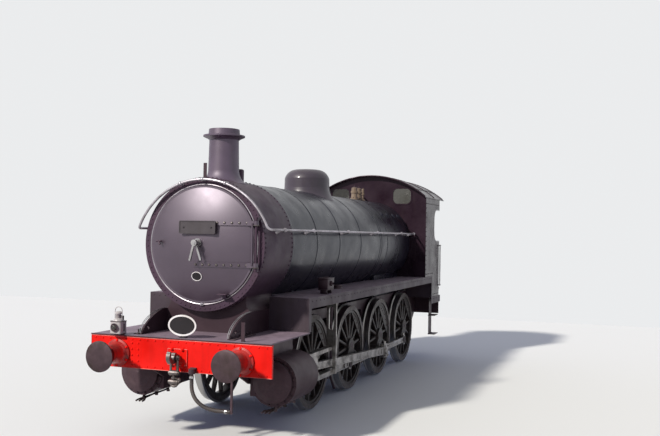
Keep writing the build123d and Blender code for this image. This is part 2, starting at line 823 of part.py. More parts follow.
# Handrails: along both sides of the boiler, bent forward and over in an arc before the smokebox
rail_radius = 17
pillar_radius = 15
rail_reach = 1005
rail_height = 2650
rail_x = sqrt(rail_reach**2 - (rail_height - boiler_height) ** 2)
rail_angle = degrees(atan2(rail_height - boiler_height, rail_x))
bend_row = smokebox_front + 120
arc_row = smokebox_front - 60
arc_foot = rail_height + 50
arc_reach = smokebox_radius + 83
arc_half = sqrt(arc_reach**2 - (arc_foot - boiler_height) ** 2)
arc_crown = boiler_height + smokebox_radius - 30
arc_radius = (arc_half**2 + (arc_crown - arc_foot) ** 2) / (2 * (arc_crown - arc_foot))
pillar_rows = [1000, 2050, 3610, 5250, 6900, 7900]
arc_pillars = (-330, 0, 330)
with BuildPart() as handrails:
    for pillar_row in pillar_rows:
        pillar_plane = Plane(
            origin=(0, row(pillar_row), up(boiler_height)),
            x_dir=(0, 1, 0),
            z_dir=(cos(radians(rail_angle)), 0, sin(radians(rail_angle))),
        )
        foot_radius = smokebox_radius if pillar_row < smokebox_back else boiler_radius
        with BuildSketch(pillar_plane.offset(foot_radius)):
            Circle(pillar_radius)
        extrude(amount=rail_reach - foot_radius)
    mirror(about=Plane.YZ)
    for pillar_x in arc_pillars:
        pillar_height = arc_crown - arc_radius + sqrt(arc_radius**2 - pillar_x**2)
        with BuildSketch(across(smokebox_front)):
            with Locations((pillar_x, pillar_height)):
                Circle(12)
        extrude(amount=smokebox_front - arc_row)
    with BuildLine() as rail_line:
        front_arc = ThreePointArc(
            (arc_half, row(arc_row), up(arc_foot)), (0, row(arc_row), up(arc_crown)),
            (-arc_half, row(arc_row), up(arc_foot)),
        )
        left_bend = Spline(
            (rail_x, row(bend_row), up(rail_height)), front_arc @ 0, tangents=[(0, -1, 0), front_arc % 0],
        )
        right_bend = Spline(
            front_arc @ 1, (-rail_x, row(bend_row), up(rail_height)), tangents=[front_arc % 1, (0, 1, 0)],
        )
        Line((rail_x, row(cab_front), up(rail_height)), left_bend @ 0)
        Line(right_bend @ 1, (-rail_x, row(cab_front), up(rail_height)))
    with BuildSketch(Plane(origin=(rail_x, row(cab_front), up(rail_height)), z_dir=(0, -1, 0))):
        Circle(rail_radius)
    sweep()
handrails.part.label = "handrails"
export_step(handrails.part, "parts/handrails.step")

# Ash pan below the firebox, humped over the last axle
ashpan_half = 560
with BuildPart() as ashpan:
    with BuildSketch(along(-ashpan_half)):
        with BuildLine():
            Polyline(
                (axle_rows[2] + 190, firebox_foot), (axle_rows[2] + 320, 430), (axle_rows[3] - 430, 430),
                (axle_rows[3] - 190, axle_height + 160), (axle_rows[3] + 190, axle_height + 160),
                (axle_rows[3] + 320, 620), (firebox_back - 120, 620), (firebox_back - 50, firebox_foot),
                close=True,
            )
        make_face()
    extrude(amount=2 * ashpan_half)
ashpan.part.label = "ashpan"
export_step(ashpan.part, "parts/ashpan.step")

# Cylinders, turned about their own line, on a block bolted to the frame
rod_line = Plane(
    origin=(cylinder_centre, row(0), up(axle_height)), x_dir=(1, 0, 0), z_dir=(0, 0, 1)
)
cylinder_axis = Axis((cylinder_centre, 0, up(axle_height)), (0, 1, 0))
gland_back = cylinder_back + cover_thickness
block_inset = 20
valve_x = 785
valve_height = 1050
valve_cover_radius = 125
valve_cover_reach = 40
cock_rows = (cylinder_front + 80, (cylinder_front + cylinder_back) / 2, cylinder_back - 80)
with BuildPart() as cylinder_left:
    with BuildSketch(rod_line):
        with BuildLine():
            Polyline(
                (0, cylinder_front - 95), (190, cylinder_front - 80), (270, cylinder_front - 50),
                (270, cylinder_front), (cylinder_radius, cylinder_front), (cylinder_radius, cylinder_back),
                (260, cylinder_back), (260, gland_back), (0, gland_back), close=True,
            )
        make_face()
    revolve(axis=cylinder_axis)
    with BuildSketch(across(cylinder_back - block_inset)):
        with Locations(((frame_outer + cylinder_centre - 60) / 2, axle_height + 190)):
            RectangleRounded(cylinder_centre - 60 - frame_outer, 2 * cylinder_radius, 60)
        with Locations(((frame_outer + cylinder_centre) / 2 - 40, axle_height)):
            Rectangle(cylinder_centre - frame_outer - 80, 420)
    extrude(amount=cylinder_back - cylinder_front - 2 * block_inset)
    with BuildSketch(across(cylinder_back - block_inset + valve_cover_reach)):
        with Locations((valve_x, valve_height)):
            Circle(valve_cover_radius)
    extrude(amount=cylinder_back - cylinder_front - 2 * block_inset + 2 * valve_cover_reach)
    for cock_row in cock_rows:
        with BuildSketch(level(axle_height - cylinder_radius - 60)):
            with Locations((cylinder_centre, cock_row)):
                Circle(15)
        extrude(amount=80)
    with BuildSketch(across(gland_back)):
        with Locations((cylinder_centre, axle_height)):
            Circle(piston_rod_radius + pin_clearance)
    extrude(amount=gland_back - cylinder_front - 20, mode=Mode.SUBTRACT)
    with BuildSketch(along(0)):
        with Locations(((cylinder_front + cylinder_back) / 2, axle_height)):
            Rectangle(2 * cylinder_back, 4 * cylinder_radius)
    extrude(amount=frame_outer, mode=Mode.SUBTRACT)
cylinder_left.part.label = "cylinder_left"
export_step(cylinder_left.part, "parts/cylinder_left.step")

with BuildPart() as cylinder_right:
    add(mirror(cylinder_left.part, about=Plane.YZ))
cylinder_right.part.label = "cylinder_right"
export_step(cylinder_right.part, "parts/cylinder_right.step")

# Slide bars from the cylinder to a bracket that hangs from the running plate
bracket_inner = cylinder_centre - slide_bar_width / 2
bracket_outer = cylinder_centre + slide_bar_width / 2 + 55
bracket_thickness = 40
for side, side_name in ((1, "left"), (-1, "right")):
    with BuildPart() as slide_bars:
        for direction in (-1, 1):
            bar_middle = axle_height + direction * (slide_bar_gap + slide_bar_height / 2)
            with BuildSketch(across(slide_bar_end)):
                with Locations((side * cylinder_centre, bar_middle)):
                    Rectangle(slide_bar_width, slide_bar_height)
            extrude(amount=slide_bar_end - gland_back)
        with BuildSketch(across(slide_bar_end + bracket_thickness)):
            bracket_bottom = axle_height - slide_bar_gap - slide_bar_height
            bracket_middle = (side * (bracket_inner + bracket_outer) / 2, (bracket_bottom + raised_bottom) / 2)
            with Locations(bracket_middle):
                Rectangle(bracket_outer - bracket_inner, raised_bottom - bracket_bottom)
            with Locations((side * (cylinder_centre - 10), axle_height)):
                Rectangle(slide_bar_width + 20, 2 * slide_bar_gap, mode=Mode.SUBTRACT)
            with Locations((side * (bracket_inner + bracket_outer) / 2, 1330)):
                SlotOverall(360, 80, rotation=90, mode=Mode.SUBTRACT)
        extrude(amount=bracket_thickness)
    slide_bars.part.label = f"slide_bars_{side_name}"
    export_step(slide_bars.part, f"parts/slide_bars_{side_name}.step")

# Axleboxes in the frame windows, bored for the axles
box_clearance = 1
with BuildPart() as axleboxes:
    for axle_row in axle_rows:
        box_parts = [
            (frame_gap / 2 - 31, frame_outer + 15, horn_width - 2 * box_clearance),
            (frame_gap / 2 - 16, frame_gap / 2, horn_width + 60),
            (frame_outer, frame_outer + 15, horn_width + 60),
        ]
        for box_inner, box_outer, box_width in box_parts:
            with BuildSketch(along(box_inner)):
                with Locations((axle_row, axle_height)):
                    Rectangle(box_width, 2 * (axle_height - horn_bottom - box_clearance))
                    Circle(axle_radius + pin_clearance, mode=Mode.SUBTRACT)
            extrude(amount=box_outer - box_inner)
    mirror(about=Plane.YZ)
axleboxes.part.label = "axleboxes"
export_step(axleboxes.part, "parts/axleboxes.step")

# Leaf springs below the frames: each leaf is shorter than the one above it
leaf_thickness = 14
leaf_count = 6
spring_width = 80
spring_length = 900
spring_top = frame_bottom - 30
with BuildPart() as springs:
    for axle_row in axle_rows:
        for leaf in range(leaf_count):
            with BuildSketch(along(frame_outer - spring_width + 10)):
                with Locations((axle_row, spring_top - (leaf + 0.5) * leaf_thickness)):
                    Rectangle(spring_length - 130 * leaf, leaf_thickness)
            extrude(amount=spring_width)
        buckle_bottom = spring_top - leaf_count * leaf_thickness - 18
        with BuildSketch(along(frame_outer - spring_width + 2)):
            with Locations((axle_row, (buckle_bottom + frame_bottom) / 2)):
                Rectangle(90, frame_bottom - buckle_bottom)
            for end in (-1, 1):
                with Locations((axle_row + end * (spring_length / 2 - 20), frame_bottom - 25)):
                    Rectangle(36, 50)
        extrude(amount=spring_width + 16)
    mirror(about=Plane.YZ)
springs.part.label = "springs"
export_step(springs.part, "parts/springs.step")

# Brake blocks behind each wheel, their hangers and the cross beams between them
brake_gap = 8
block_thickness = 58
block_inner = back_to_back / 2 + 40
block_outer = block_inner + 85
hanger_thickness = 32
hanger_height = 1010
beam_height = 350
with BuildPart() as brake_gear:
    for axle_row in axle_rows:
        block_front = tread_radius + brake_gap
        hanger_front = axle_row + block_front + block_thickness - 12
        with BuildSketch(along(block_inner)):
            with Locations((axle_row, axle_height)):
                Circle(block_front + block_thickness)
                Circle(block_front, mode=Mode.SUBTRACT)
            with Locations((axle_row + tread_radius, axle_height - 60)):
                Rectangle(360, 380, mode=Mode.INTERSECT)
        extrude(amount=block_outer - block_inner)
        with BuildSketch(along(block_inner + 20)):
            with Locations((hanger_front + 25, (hanger_height + beam_height) / 2)):
                RectangleRounded(62, hanger_height - beam_height + 80, 28)
        extrude(amount=hanger_thickness)
        for bar_end, bar_height in ((frame_outer, hanger_height), (0, beam_height)):
            with BuildSketch(along(bar_end)):
                with Locations((hanger_front + 25, bar_height)):
                    Circle(24)
            extrude(amount=block_inner + 60 - bar_end)
    mirror(about=Plane.YZ)
brake_gear.part.label = "brake_gear"
export_step(brake_gear.part, "parts/brake_gear.step")

# Sand boxes under the running plate with pipes down between the wheels
sand_row = 3470
sand_x = 760
sand_pipe_radius = 20
with BuildPart() as sand_gear:
    with BuildSketch(level(1470)):
        with Locations((sand_x, sand_row)):
            RectangleRounded(190, 240, 30)
    extrude(amount=raised_bottom - 1470)
    with BuildLine() as sand_line:
        FilletPolyline(
            (sand_x, row(sand_row), up(1475)), (sand_x, row(sand_row), up(330)),
            (sand_x, row(sand_row + 190), up(110)), radius=150,
        )
    with BuildSketch(Plane(origin=(sand_x, row(sand_row), up(1475)), z_dir=(0, 0, -1))):
        Circle(sand_pipe_radius)
    sweep(path=sand_line.line)
    mirror(about=Plane.YZ)
sand_gear.part.label = "sand_gear"
export_step(sand_gear.part, "parts/sand_gear.step")

# Cab steps: two treads on a hanging plate, on each side
step_row = 8960
step_heights = (450, 860)
with BuildPart() as steps:
    with BuildSketch(along(1100)):
        with Locations((step_row, (beam_top + step_heights[0]) / 2)):
            Rectangle(240, beam_top - step_heights[0])
    extrude(amount=14)
    for step_height in step_heights:
        with BuildSketch(level(step_height)):
            with Locations((1100 + 75, step_row)):
                Rectangle(150, 340)
        extrude(amount=14)
    mirror(about=Plane.YZ)
steps.part.label = "steps"
export_step(steps.part, "parts/steps.step")

# Rear drag beam and drag box, bored for the tender's drawbar pin
drawbar_height = 1000
drawbar_pin_radius = 38
drawbar_row = drag_beam_back - 170
with BuildPart() as drag_beam:
    with BuildSketch(across(drag_beam_back)):
        with Locations((0, (beam_bottom + beam_top) / 2)):
            Rectangle(2 * running_plate_edge - 60, beam_top - beam_bottom)
        with Locations((0, drawbar_height)):
            Rectangle(360, 120, mode=Mode.SUBTRACT)
    extrude(amount=30)
    for plate_height in (drawbar_height - 100, drawbar_height + 60):
        with BuildSketch(level(plate_height)):
            with Locations((0, drag_beam_back - 30 - 140)):
                Rectangle(frame_gap, 280)
            with Locations((0, drawbar_row)):
                Circle(drawbar_pin_radius, mode=Mode.SUBTRACT)
        extrude(amount=40)
drag_beam.part.label = "drag_beam"
export_step(drag_beam.part, "parts/drag_beam.step")

# Lamp irons: x, row of the middle, foot height, height
iron_row = 60
iron_width = 46
iron_thickness = 12
lamp_iron_table = [
    (-lamp_x, iron_row, low_plate_top, 235), (lamp_x, iron_row, low_plate_top, 235),
    (0, smokebox_front + 8, boiler_edge(smokebox_radius, 0), 190),
]
with BuildPart() as lamp_irons:
    for iron_x, iron_middle, iron_foot, iron_height in lamp_iron_table:
        with BuildSketch(level(iron_foot)):
            with Locations((iron_x, iron_middle)):
                Rectangle(iron_width, iron_thickness)
        extrude(amount=iron_height)
        with BuildSketch(level(iron_foot)):
            with Locations((iron_x, iron_middle + 10)):
                Rectangle(iron_width, 32)
        extrude(amount=10)
lamp_irons.part.label = "lamp_irons"
export_step(lamp_irons.part, "parts/lamp_irons.step")

# Oil headlamp with its socket over the right-hand iron: body, turned cowl, lens and wire handle
lamp_width = 165
lamp_depth = 150
lamp_height = 165
lamp_foot = low_plate_top + 12
lamp_top = lamp_foot + lamp_height
lamp_row = iron_row - (iron_thickness + lamp_depth) / 2
cowl_profile = [(0, 0), (68, 0), (60, 18), (34, 34), (32, 84), (48, 90), (48, 108), (30, 120), (0, 124)]
handle_half = 52
handle_rise = 125
handle_radius = 5
with BuildPart() as headlamp:
    with BuildSketch(level(lamp_foot)):
        with Locations((-lamp_x, lamp_row)):
            RectangleRounded(lamp_width, lamp_depth, 30)
    extrude(amount=lamp_height)
    lamp_plane = Plane(origin=(-lamp_x, row(lamp_row), up(lamp_top)), x_dir=(1, 0, 0), z_dir=(0, -1, 0))
    with BuildSketch(lamp_plane):
        with BuildLine():
            Polyline(*cowl_profile, close=True)
        make_face()
    revolve(axis=Axis((-lamp_x, row(lamp_row), 0), (0, 0, 1)))
    with BuildSketch(level(lamp_foot + 20)):
        with Locations((-lamp_x, iron_row)):
            Rectangle(iron_width + 24, iron_thickness + 24)
            Rectangle(iron_width, iron_thickness, mode=Mode.SUBTRACT)
    extrude(amount=lamp_height - 50)
    for lens_radius, lens_reach in ((50, 18), (36, 26)):
        with BuildSketch(across(lamp_row - lamp_depth / 2)):
            with Locations((-lamp_x, lamp_foot + 88)):
                Circle(lens_radius)
        extrude(amount=lens_reach)
    with BuildLine() as handle_line:
        handle_left = (-lamp_x - handle_half, row(lamp_row), up(lamp_top + handle_rise))
        handle_right = (-lamp_x + handle_half, row(lamp_row), up(lamp_top + handle_rise))
        Line((handle_left[0], handle_left[1], up(lamp_top - 10)), handle_left)
        handle_crown = (-lamp_x, row(lamp_row), up(lamp_top + handle_rise + handle_half))
        ThreePointArc(handle_left, handle_crown, handle_right)
        Line(handle_right, (handle_right[0], handle_right[1], up(lamp_top - 10)))
    with BuildSketch(Plane(origin=handle_line.line @ 0, z_dir=handle_line.line % 0)):
        Circle(handle_radius)
    sweep()
headlamp.part.label = "headlamp"
export_step(headlamp.part, "parts/headlamp.step")

# Smokebox door: a dished plate with a flat rim, seated on the front ring
dome_rim = door_radius - 25
seat_gap = 1
rim_thickness_door = 22
door_seat = smokebox_front - seat_gap
door_front = door_seat - door_dome
door_back = door_front + door_wall
rim_front = door_seat - rim_thickness_door
with BuildPart() as smokebox_door:
    with BuildSketch(boiler_section):
        with BuildLine():
            Line((0, door_back), (0, door_front))
            TangentArc((0, door_front), (dome_rim, rim_front), tangent=(1, 0))
            Polyline(
                (dome_rim, rim_front), (door_radius, rim_front), (door_radius, door_seat),
                (dome_rim, door_seat),
            )
            TangentArc((0, door_back), (dome_rim, door_seat), tangent=(1, 0))
        make_face()
    revolve(axis=boiler_axis)
smokebox_door.part.label = "smokebox_door"
export_step(smokebox_door.part, "parts/smokebox_door.step")

# Strap hinges bent to the dished door, with an eye round the hinge pin
strap_thickness = 16
strap_tip = -70
with BuildPart() as strap_shell:
    with BuildSketch(boiler_section):
        with BuildLine():
            Line((0, door_front), (0, door_front - strap_thickness))
            TangentArc(
                (0, door_front - strap_thickness), (dome_rim, rim_front - strap_thickness), tangent=(1, 0),
            )
            Line((dome_rim, rim_front - strap_thickness), (dome_rim, rim_front))
            TangentArc((0, door_front), (dome_rim, rim_front), tangent=(1, 0))
        make_face()
    revolve(axis=boiler_axis)

with BuildPart() as door_hinges:
    for strap_height in strap_heights:
        with BuildSketch(across(smokebox_front)):
            with Locations(((strap_tip + hinge_x - 90) / 2, strap_height)):
                Rectangle(hinge_x - 90 - strap_tip, strap_width)
        extrude(amount=200)
    add(strap_shell.part, mode=Mode.INTERSECT)
    for strap_height in strap_heights:
        with BuildSketch(level(strap_height - strap_width / 2)):
            with Locations((hinge_x, hinge_row)):
                Circle(hinge_pin_radius + 18)
            with Locations(((hinge_x + 660) / 2, hinge_row + 12)):
                Rectangle(hinge_x - 660, 24)
            with Locations((hinge_x, hinge_row)):
                Circle(hinge_pin_radius + pin_clearance, mode=Mode.SUBTRACT)
        extrude(amount=strap_width)
    with BuildSketch(level(strap_heights[0])):
        with Locations((hinge_x - 55, hinge_row)):
            Circle(15)
    extrude(amount=strap_heights[1] - strap_heights[0])
door_hinges.part.label = "door_hinges"
export_step(door_hinges.part, "parts/door_hinges.step")

# Door fastening: a hub with two handles
dart_height = boiler_height + 20
dart_row = door_front
handle_length = 230
with BuildPart() as door_dart:
    with BuildSketch(across(dart_row + 20)):
        with Locations((0, dart_height)):
            Circle(55)
    extrude(amount=50)
    add(smokebox_door.part, mode=Mode.SUBTRACT)
    with BuildSketch(across(dart_row)):
        with Locations((0, dart_height)):
            Circle(24)
    extrude(amount=125)
    for handle_row, handle_angle in ((dart_row - 55, 20), (dart_row - 95, -14)):
        with BuildSketch(across(handle_row)):
            with Locations((0, dart_height)):
                Circle(40)
            with Locations((
                sin(radians(handle_angle)) * handle_length / 2,
                dart_height - cos(radians(handle_angle)) * handle_length / 2,
            )):
                RectangleRounded(26, handle_length + 20, 12, rotation=handle_angle)
        extrude(amount=24)
door_dart.part.label = "door_dart"
export_step(door_dart.part, "parts/door_dart.step")

# One wheel with its axle line on Z, outer side up and its crank along X
rim_inner = tread_radius - tyre_thickness - rim_thickness
tyre_inner = tread_radius - tyre_thickness
tyre_back = back_to_back / 2
tyre_front = tyre_back + tyre_width
flange_radius = tread_radius + flange_depth
spoke_middle = (tyre_back + tyre_front) / 2


def make_wheel(weight_chord, pin_end):
    """Spoked wheel: the balance weight fills the rim beyond its chord, opposite the crank."""
    with BuildPart() as wheel:
        with BuildSketch(Plane.XZ):
            with BuildLine():
                Polyline(
                    (rim_inner, tyre_back + rim_inset), (tyre_inner, tyre_back + rim_inset),
                    (tyre_inner, tyre_back), (flange_radius - 14, tyre_back),
                    (flange_radius, tyre_back + 10),
                    (flange_radius, tyre_back + 20), (tread_radius, tyre_back + 34),
                    (tread_radius, tyre_front - 6), (tread_radius - 6, tyre_front),
                    (tyre_inner, tyre_front), (tyre_inner, tyre_front - rim_inset),
                    (rim_inner, tyre_front - rim_inset), close=True,
                )
            make_face()
        revolve(axis=Axis.Z)
        with BuildSketch(Plane.XY.offset(hub_back)):
            Circle(hub_radius)
        extrude(amount=hub_front - hub_back)
        for spoke in range(spoke_count):
            angle = 2 * pi * (spoke + 0.5) / spoke_count
            outward = Vector(cos(angle), sin(angle), 0)
            across_spoke = Vector(-sin(angle), cos(angle), 0)
            spoke_ends = []
            for reach, width, depth in ((hub_radius - 12, 58, 96), (rim_inner + 5, 42, 66)):
                place = outward * reach + Vector(0, 0, spoke_middle)
                section = Plane(origin=place, x_dir=across_spoke, z_dir=outward)
                with BuildSketch(section, mode=Mode.PRIVATE) as spoke_end:
                    RectangleRounded(width, depth, width / 3)
                spoke_ends.append(spoke_end.sketch)
            loft(sections=spoke_ends)
        with BuildSketch(Plane.XY.offset(tyre_back + 30)):
            with Locations((crank, 0)):
                Circle(boss_radius)
            with Locations((crank / 2, 0)):
                Rectangle(crank, 1.6 * boss_radius)
        extrude(amount=boss_front - tyre_back - 30)
        with BuildSketch(Plane.XY.offset(tyre_back + 22)):
            Circle(rim_inner + 4)
            with Locations((-weight_chord - rim_inner / 2, 0)):
                Rectangle(rim_inner, 2 * rim_inner, mode=Mode.INTERSECT)
        extrude(amount=tyre_width - 44)
        with BuildSketch(Plane.XY.offset(boss_front)):
            with Locations((crank, 0)):
                Circle(pin_radius)
        extrude(amount=pin_end - boss_front)
        with BuildSketch(Plane.XY.offset(rod_end + 2)):
            with Locations((crank, 0)):
                Circle(pin_radius + pin_collar)
        extrude(amount=10)
        with BuildSketch(Plane.XY.offset(hub_back)):
            Circle(axle_radius)
        extrude(amount=hub_front - hub_back, mode=Mode.SUBTRACT)
    return wheel.part


plain_wheel = make_wheel(weight_chord=470, pin_end=rod_end + 12)
driving_wheel = make_wheel(weight_chord=395, pin_end=driving_pin_end)


def crank_plane(distance, angle):
    """Wheel plane with its first axis along the crank, outer side to the left."""
    turned = (0, cos(radians(angle)), sin(radians(angle)))
    return Plane(origin=(0, row(distance), up(axle_height)), x_dir=turned, z_dir=(1, 0, 0))


for number, axle_row in enumerate(axle_rows, start=1):
    model = driving_wheel if number == 3 else plain_wheel
    left_wheel = model.moved(crank_plane(axle_row, crank_angle_left).location)
    right_wheel = mirror(model.moved(crank_plane(axle_row, crank_angle_right).location), about=Plane.YZ)
    with BuildPart() as wheels:
        add(left_wheel)
        add(right_wheel)
    wheels.part.label = f"wheels_{number}"
    export_step(wheels.part, f"parts/wheels_{number}.step")

    with BuildPart() as axle:
        with BuildSketch(along(-hub_front)):
            with Locations((axle_row, axle_height)):
                Circle(axle_radius)
        extrude(amount=2 * hub_front)
    axle.part.label = f"axle_{number}"
    export_step(axle.part, f"parts/axle_{number}.step")

# Coupling rods: an eye on each crank pin and a fluted bar between each two
oil_cup_radius = 20
for side, side_name, angle in ((1, "left", crank_angle_left), (-1, "right", crank_angle_right)):
    pin_lift = crank * sin(radians(angle)) + axle_height
    pin_rows = [axle_row + crank * cos(radians(angle)) for axle_row in axle_rows]
    bar_start = min(side * coupling_rod_back, side * rod_end)
    flute_start = min(side * rod_end, side * (rod_end - flute_depth))
    with BuildPart() as coupling_rods:
        with BuildSketch(along(bar_start)):
            for start, end in zip(pin_rows, pin_rows[1:]):
                with Locations(((start + end) / 2, pin_lift)):
                    Rectangle(end - start, coupling_rod_height)
            for pin_row in pin_rows:
                with Locations((pin_row, pin_lift)):
                    Circle(coupling_eye_radius)
                    Circle(pin_radius + pin_clearance, mode=Mode.SUBTRACT)
        extrude(amount=coupling_rod_thickness)
        with BuildSketch(along(flute_start)):
            for start, end in zip(pin_rows, pin_rows[1:]):
                with Locations(((start + end) / 2, pin_lift)):
                    SlotOverall(end - start - 2 * coupling_eye_radius - 60, coupling_rod_height - 44)
        extrude(amount=flute_depth, mode=Mode.SUBTRACT)
        with BuildSketch(level(pin_lift + coupling_eye_radius - 12)):
            for pin_row in pin_rows:
                with Locations((side * (coupling_rod_back + coupling_rod_thickness / 2), pin_row)):
                    Circle(oil_cup_radius)
        extrude(amount=42)
    coupling_rods.part.label = f"coupling_rods_{side_name}"
    export_step(coupling_rods.part, f"parts/coupling_rods_{side_name}.step")

# Connecting rod, drawn along its own line from the crosshead pin at the origin
big_end_length = 300
big_end_height = 250
with BuildPart() as rod_model:
    with BuildSketch(Plane.XY.offset(-connecting_rod_thickness / 2)):
        with BuildLine():
            Polyline(
                (0, -52), (connecting_rod_length - 100, -68), (connecting_rod_length - 100, 68), (0, 52),
                close=True,
            )
        make_face()
        Circle(small_end_radius)
        with Locations((connecting_rod_length + 5, 0)):
            RectangleRounded(big_end_length, big_end_height, 40)
        Circle(gudgeon_radius + pin_clearance, mode=Mode.SUBTRACT)
    extrude(amount=connecting_rod_thickness)
    with BuildSketch(Plane.XY.offset(connecting_rod_thickness / 2 - flute_depth)):
        with BuildLine():
            Polyline(
                (160, -30), (connecting_rod_length - 260, -44), (connecting_rod_length - 260, 44), (160, 30),
                close=True,
            )
        make_face()
    extrude(amount=flute_depth, mode=Mode.SUBTRACT)
    with BuildSketch(Plane.XY.offset(connecting_rod_thickness / 2)):
        with Locations((connecting_rod_length, 0)):
            Circle(pin_radius + 8)
    extrude(amount=10)

# Crosshead and piston rod, drawn about the crosshead pin with the cylinder towards -X
slipper_top = slide_bar_gap - 1
slipper_bottom = 104
piston_rod_length = 1200
half_span = connecting_rod_thickness / 2 + 5 + cheek_thickness
with BuildPart() as crosshead_model:
    with BuildSketch(Plane.XY.offset(-half_span)):
        for direction in (-1, 1):
            with Locations((0, direction * (slipper_top + slipper_bottom) / 2)):
                Rectangle(2 * crosshead_half_length, slipper_top - slipper_bottom)
        with Locations((-crosshead_half_length + 30, 0)):
            Rectangle(60, 2 * slipper_bottom)
    extrude(amount=2 * half_span)
    for cheek_face in (-half_span, half_span - cheek_thickness):
        with BuildSketch(Plane.XY.offset(cheek_face)):
            with BuildLine():
                Polyline(
                    (-crosshead_half_length, slipper_bottom), (-crosshead_half_length, -slipper_bottom),
                    (90, -slipper_bottom), (110, 0), (90, slipper_bottom), close=True,
                )
            make_face()
        extrude(amount=cheek_thickness)
    with BuildSketch(Plane.XY.offset(-half_span)):
        Circle(gudgeon_radius)
    extrude(amount=2 * half_span + 8)
    with BuildSketch(Plane.YZ.offset(-crosshead_half_length)):
        Circle(70)
    extrude(amount=-60)
    with BuildSketch(Plane.YZ.offset(-crosshead_half_length)):
        Circle(piston_rod_radius)
    extrude(amount=-(piston_rod_length - crosshead_half_length))

for side, side_name, angle in ((1, "left", crank_angle_left), (-1, "right", crank_angle_right)):
    pin_row = axle_rows[2] + crank * cos(radians(angle))
    rise = crank * sin(radians(angle))
    tilt = asin(rise / connecting_rod_length)
    crosshead_row = pin_row - connecting_rod_length * cos(tilt)
    place = (cylinder_centre, row(crosshead_row), up(axle_height))
    rod_plane = Plane(origin=place, x_dir=(0, cos(tilt), sin(tilt)), z_dir=(1, 0, 0))
    crosshead_plane = Plane(origin=place, x_dir=(0, 1, 0), z_dir=(1, 0, 0))
    rod_shape = rod_model.part.moved(rod_plane.location)
    crosshead_shape = crosshead_model.part.moved(crosshead_plane.location)
    if side < 0:
        rod_shape = mirror(rod_shape, about=Plane.YZ)
        crosshead_shape = mirror(crosshead_shape, about=Plane.YZ)
    with BuildPart() as connecting_rod:
        add(rod_shape)
    connecting_rod.part.label = f"connecting_rod_{side_name}"
    export_step(connecting_rod.part, f"parts/connecting_rod_{side_name}.step")
    with BuildPart() as crosshead:
        add(crosshead_shape)
    crosshead.part.label = f"crosshead_{side_name}"
    export_step(crosshead.part, f"parts/crosshead_{side_name}.step")
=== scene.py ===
import json
from math import asin, atan2, cos, hypot, pi, radians, sin, sqrt

import bmesh
import bpy
from mathutils import Matrix, Vector


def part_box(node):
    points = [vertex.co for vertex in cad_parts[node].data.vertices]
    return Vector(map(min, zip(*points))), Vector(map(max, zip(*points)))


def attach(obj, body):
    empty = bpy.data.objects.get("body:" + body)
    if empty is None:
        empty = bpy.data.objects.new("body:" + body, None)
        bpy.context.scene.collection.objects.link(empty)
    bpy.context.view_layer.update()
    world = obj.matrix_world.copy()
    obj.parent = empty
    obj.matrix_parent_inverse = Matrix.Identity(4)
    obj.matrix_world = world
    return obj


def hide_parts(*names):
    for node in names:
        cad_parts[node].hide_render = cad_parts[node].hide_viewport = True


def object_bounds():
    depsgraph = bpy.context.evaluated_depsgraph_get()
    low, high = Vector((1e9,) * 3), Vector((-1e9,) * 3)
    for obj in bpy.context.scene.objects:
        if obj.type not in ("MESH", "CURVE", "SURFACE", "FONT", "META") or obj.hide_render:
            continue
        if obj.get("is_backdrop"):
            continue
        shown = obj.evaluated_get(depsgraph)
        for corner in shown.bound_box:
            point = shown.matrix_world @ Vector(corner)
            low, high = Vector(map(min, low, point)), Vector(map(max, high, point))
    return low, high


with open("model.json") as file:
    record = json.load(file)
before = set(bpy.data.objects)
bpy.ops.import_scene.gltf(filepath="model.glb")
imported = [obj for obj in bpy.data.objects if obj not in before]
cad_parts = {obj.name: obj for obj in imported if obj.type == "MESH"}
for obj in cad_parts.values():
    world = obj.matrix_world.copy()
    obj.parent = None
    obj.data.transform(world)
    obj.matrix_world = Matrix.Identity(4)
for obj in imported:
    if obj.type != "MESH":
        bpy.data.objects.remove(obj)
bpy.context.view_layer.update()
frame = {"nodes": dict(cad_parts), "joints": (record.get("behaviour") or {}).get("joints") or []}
joint_places = {j["name"]: Vector(j["pos_m"]) for j in frame["joints"] if "pos_m" in j}

# Places are metres: across the engine with its left side positive, behind the buffer beam, above the rail
FLANGE = 0.028
X, Y, Z = Vector((1, 0, 0)), Vector((0, 1, 0)), Vector((0, 0, 1))
beam_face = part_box("front_platform")[0].y


def at(across, back, height):
    """A point from its distance across, behind the beam and above the rail."""
    return Vector((across, beam_face + back, height + FLANGE))


def span(node_name):
    """Lowest and highest corner of a node, in the same distances."""
    low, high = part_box(node_name)
    shift = Vector((0, beam_face, FLANGE))
    return low - shift, high - shift


barrel_low, barrel_high = span("boiler_barrel")
BOILER_R = (barrel_high.x - barrel_low.x) / 2
BOILER_Z = (barrel_high.z + barrel_low.z) / 2
SMOKEBOX_BACK = barrel_low.y
FIREBOX_FRONT = barrel_high.y
FIREBOX_BACK = span("firebox")[1].y
SMOKEBOX_R = span("smokebox")[1].x
DOOR_SEAT = span("smokebox_door")[1].y
DOOR_FRONT = span("smokebox_door")[0].y
DOOR_R = span("smokebox_door")[1].x
SMOKEBOX_FRONT = DOOR_SEAT + 0.001
BEAM_TOP = span("buffer_beam")[1].z
BEAM_BOTTOM = span("buffer_beam")[0].z
BEAM_HALF = span("buffer_beam")[1].x
PLATFORM_TOP = span("front_platform")[1].z
PLATE_TOP = span("running_plate_left")[1].z
PLATE_EDGE = span("running_plate_left")[1].x
DROP_PLATE = span("running_plate_left")[0].y
CAB_FRONT = span("cab_front")[0].y
CAB_HALF = span("cab_side_left")[1].x
CAB_SIDE_END = span("cab_side_left")[1].y
FRAME_OUTER = span("frame_plates")[1].x
AXLES = [(span(f"axle_{n}")[0].y + span(f"axle_{n}")[1].y) / 2 for n in range(1, 5)]
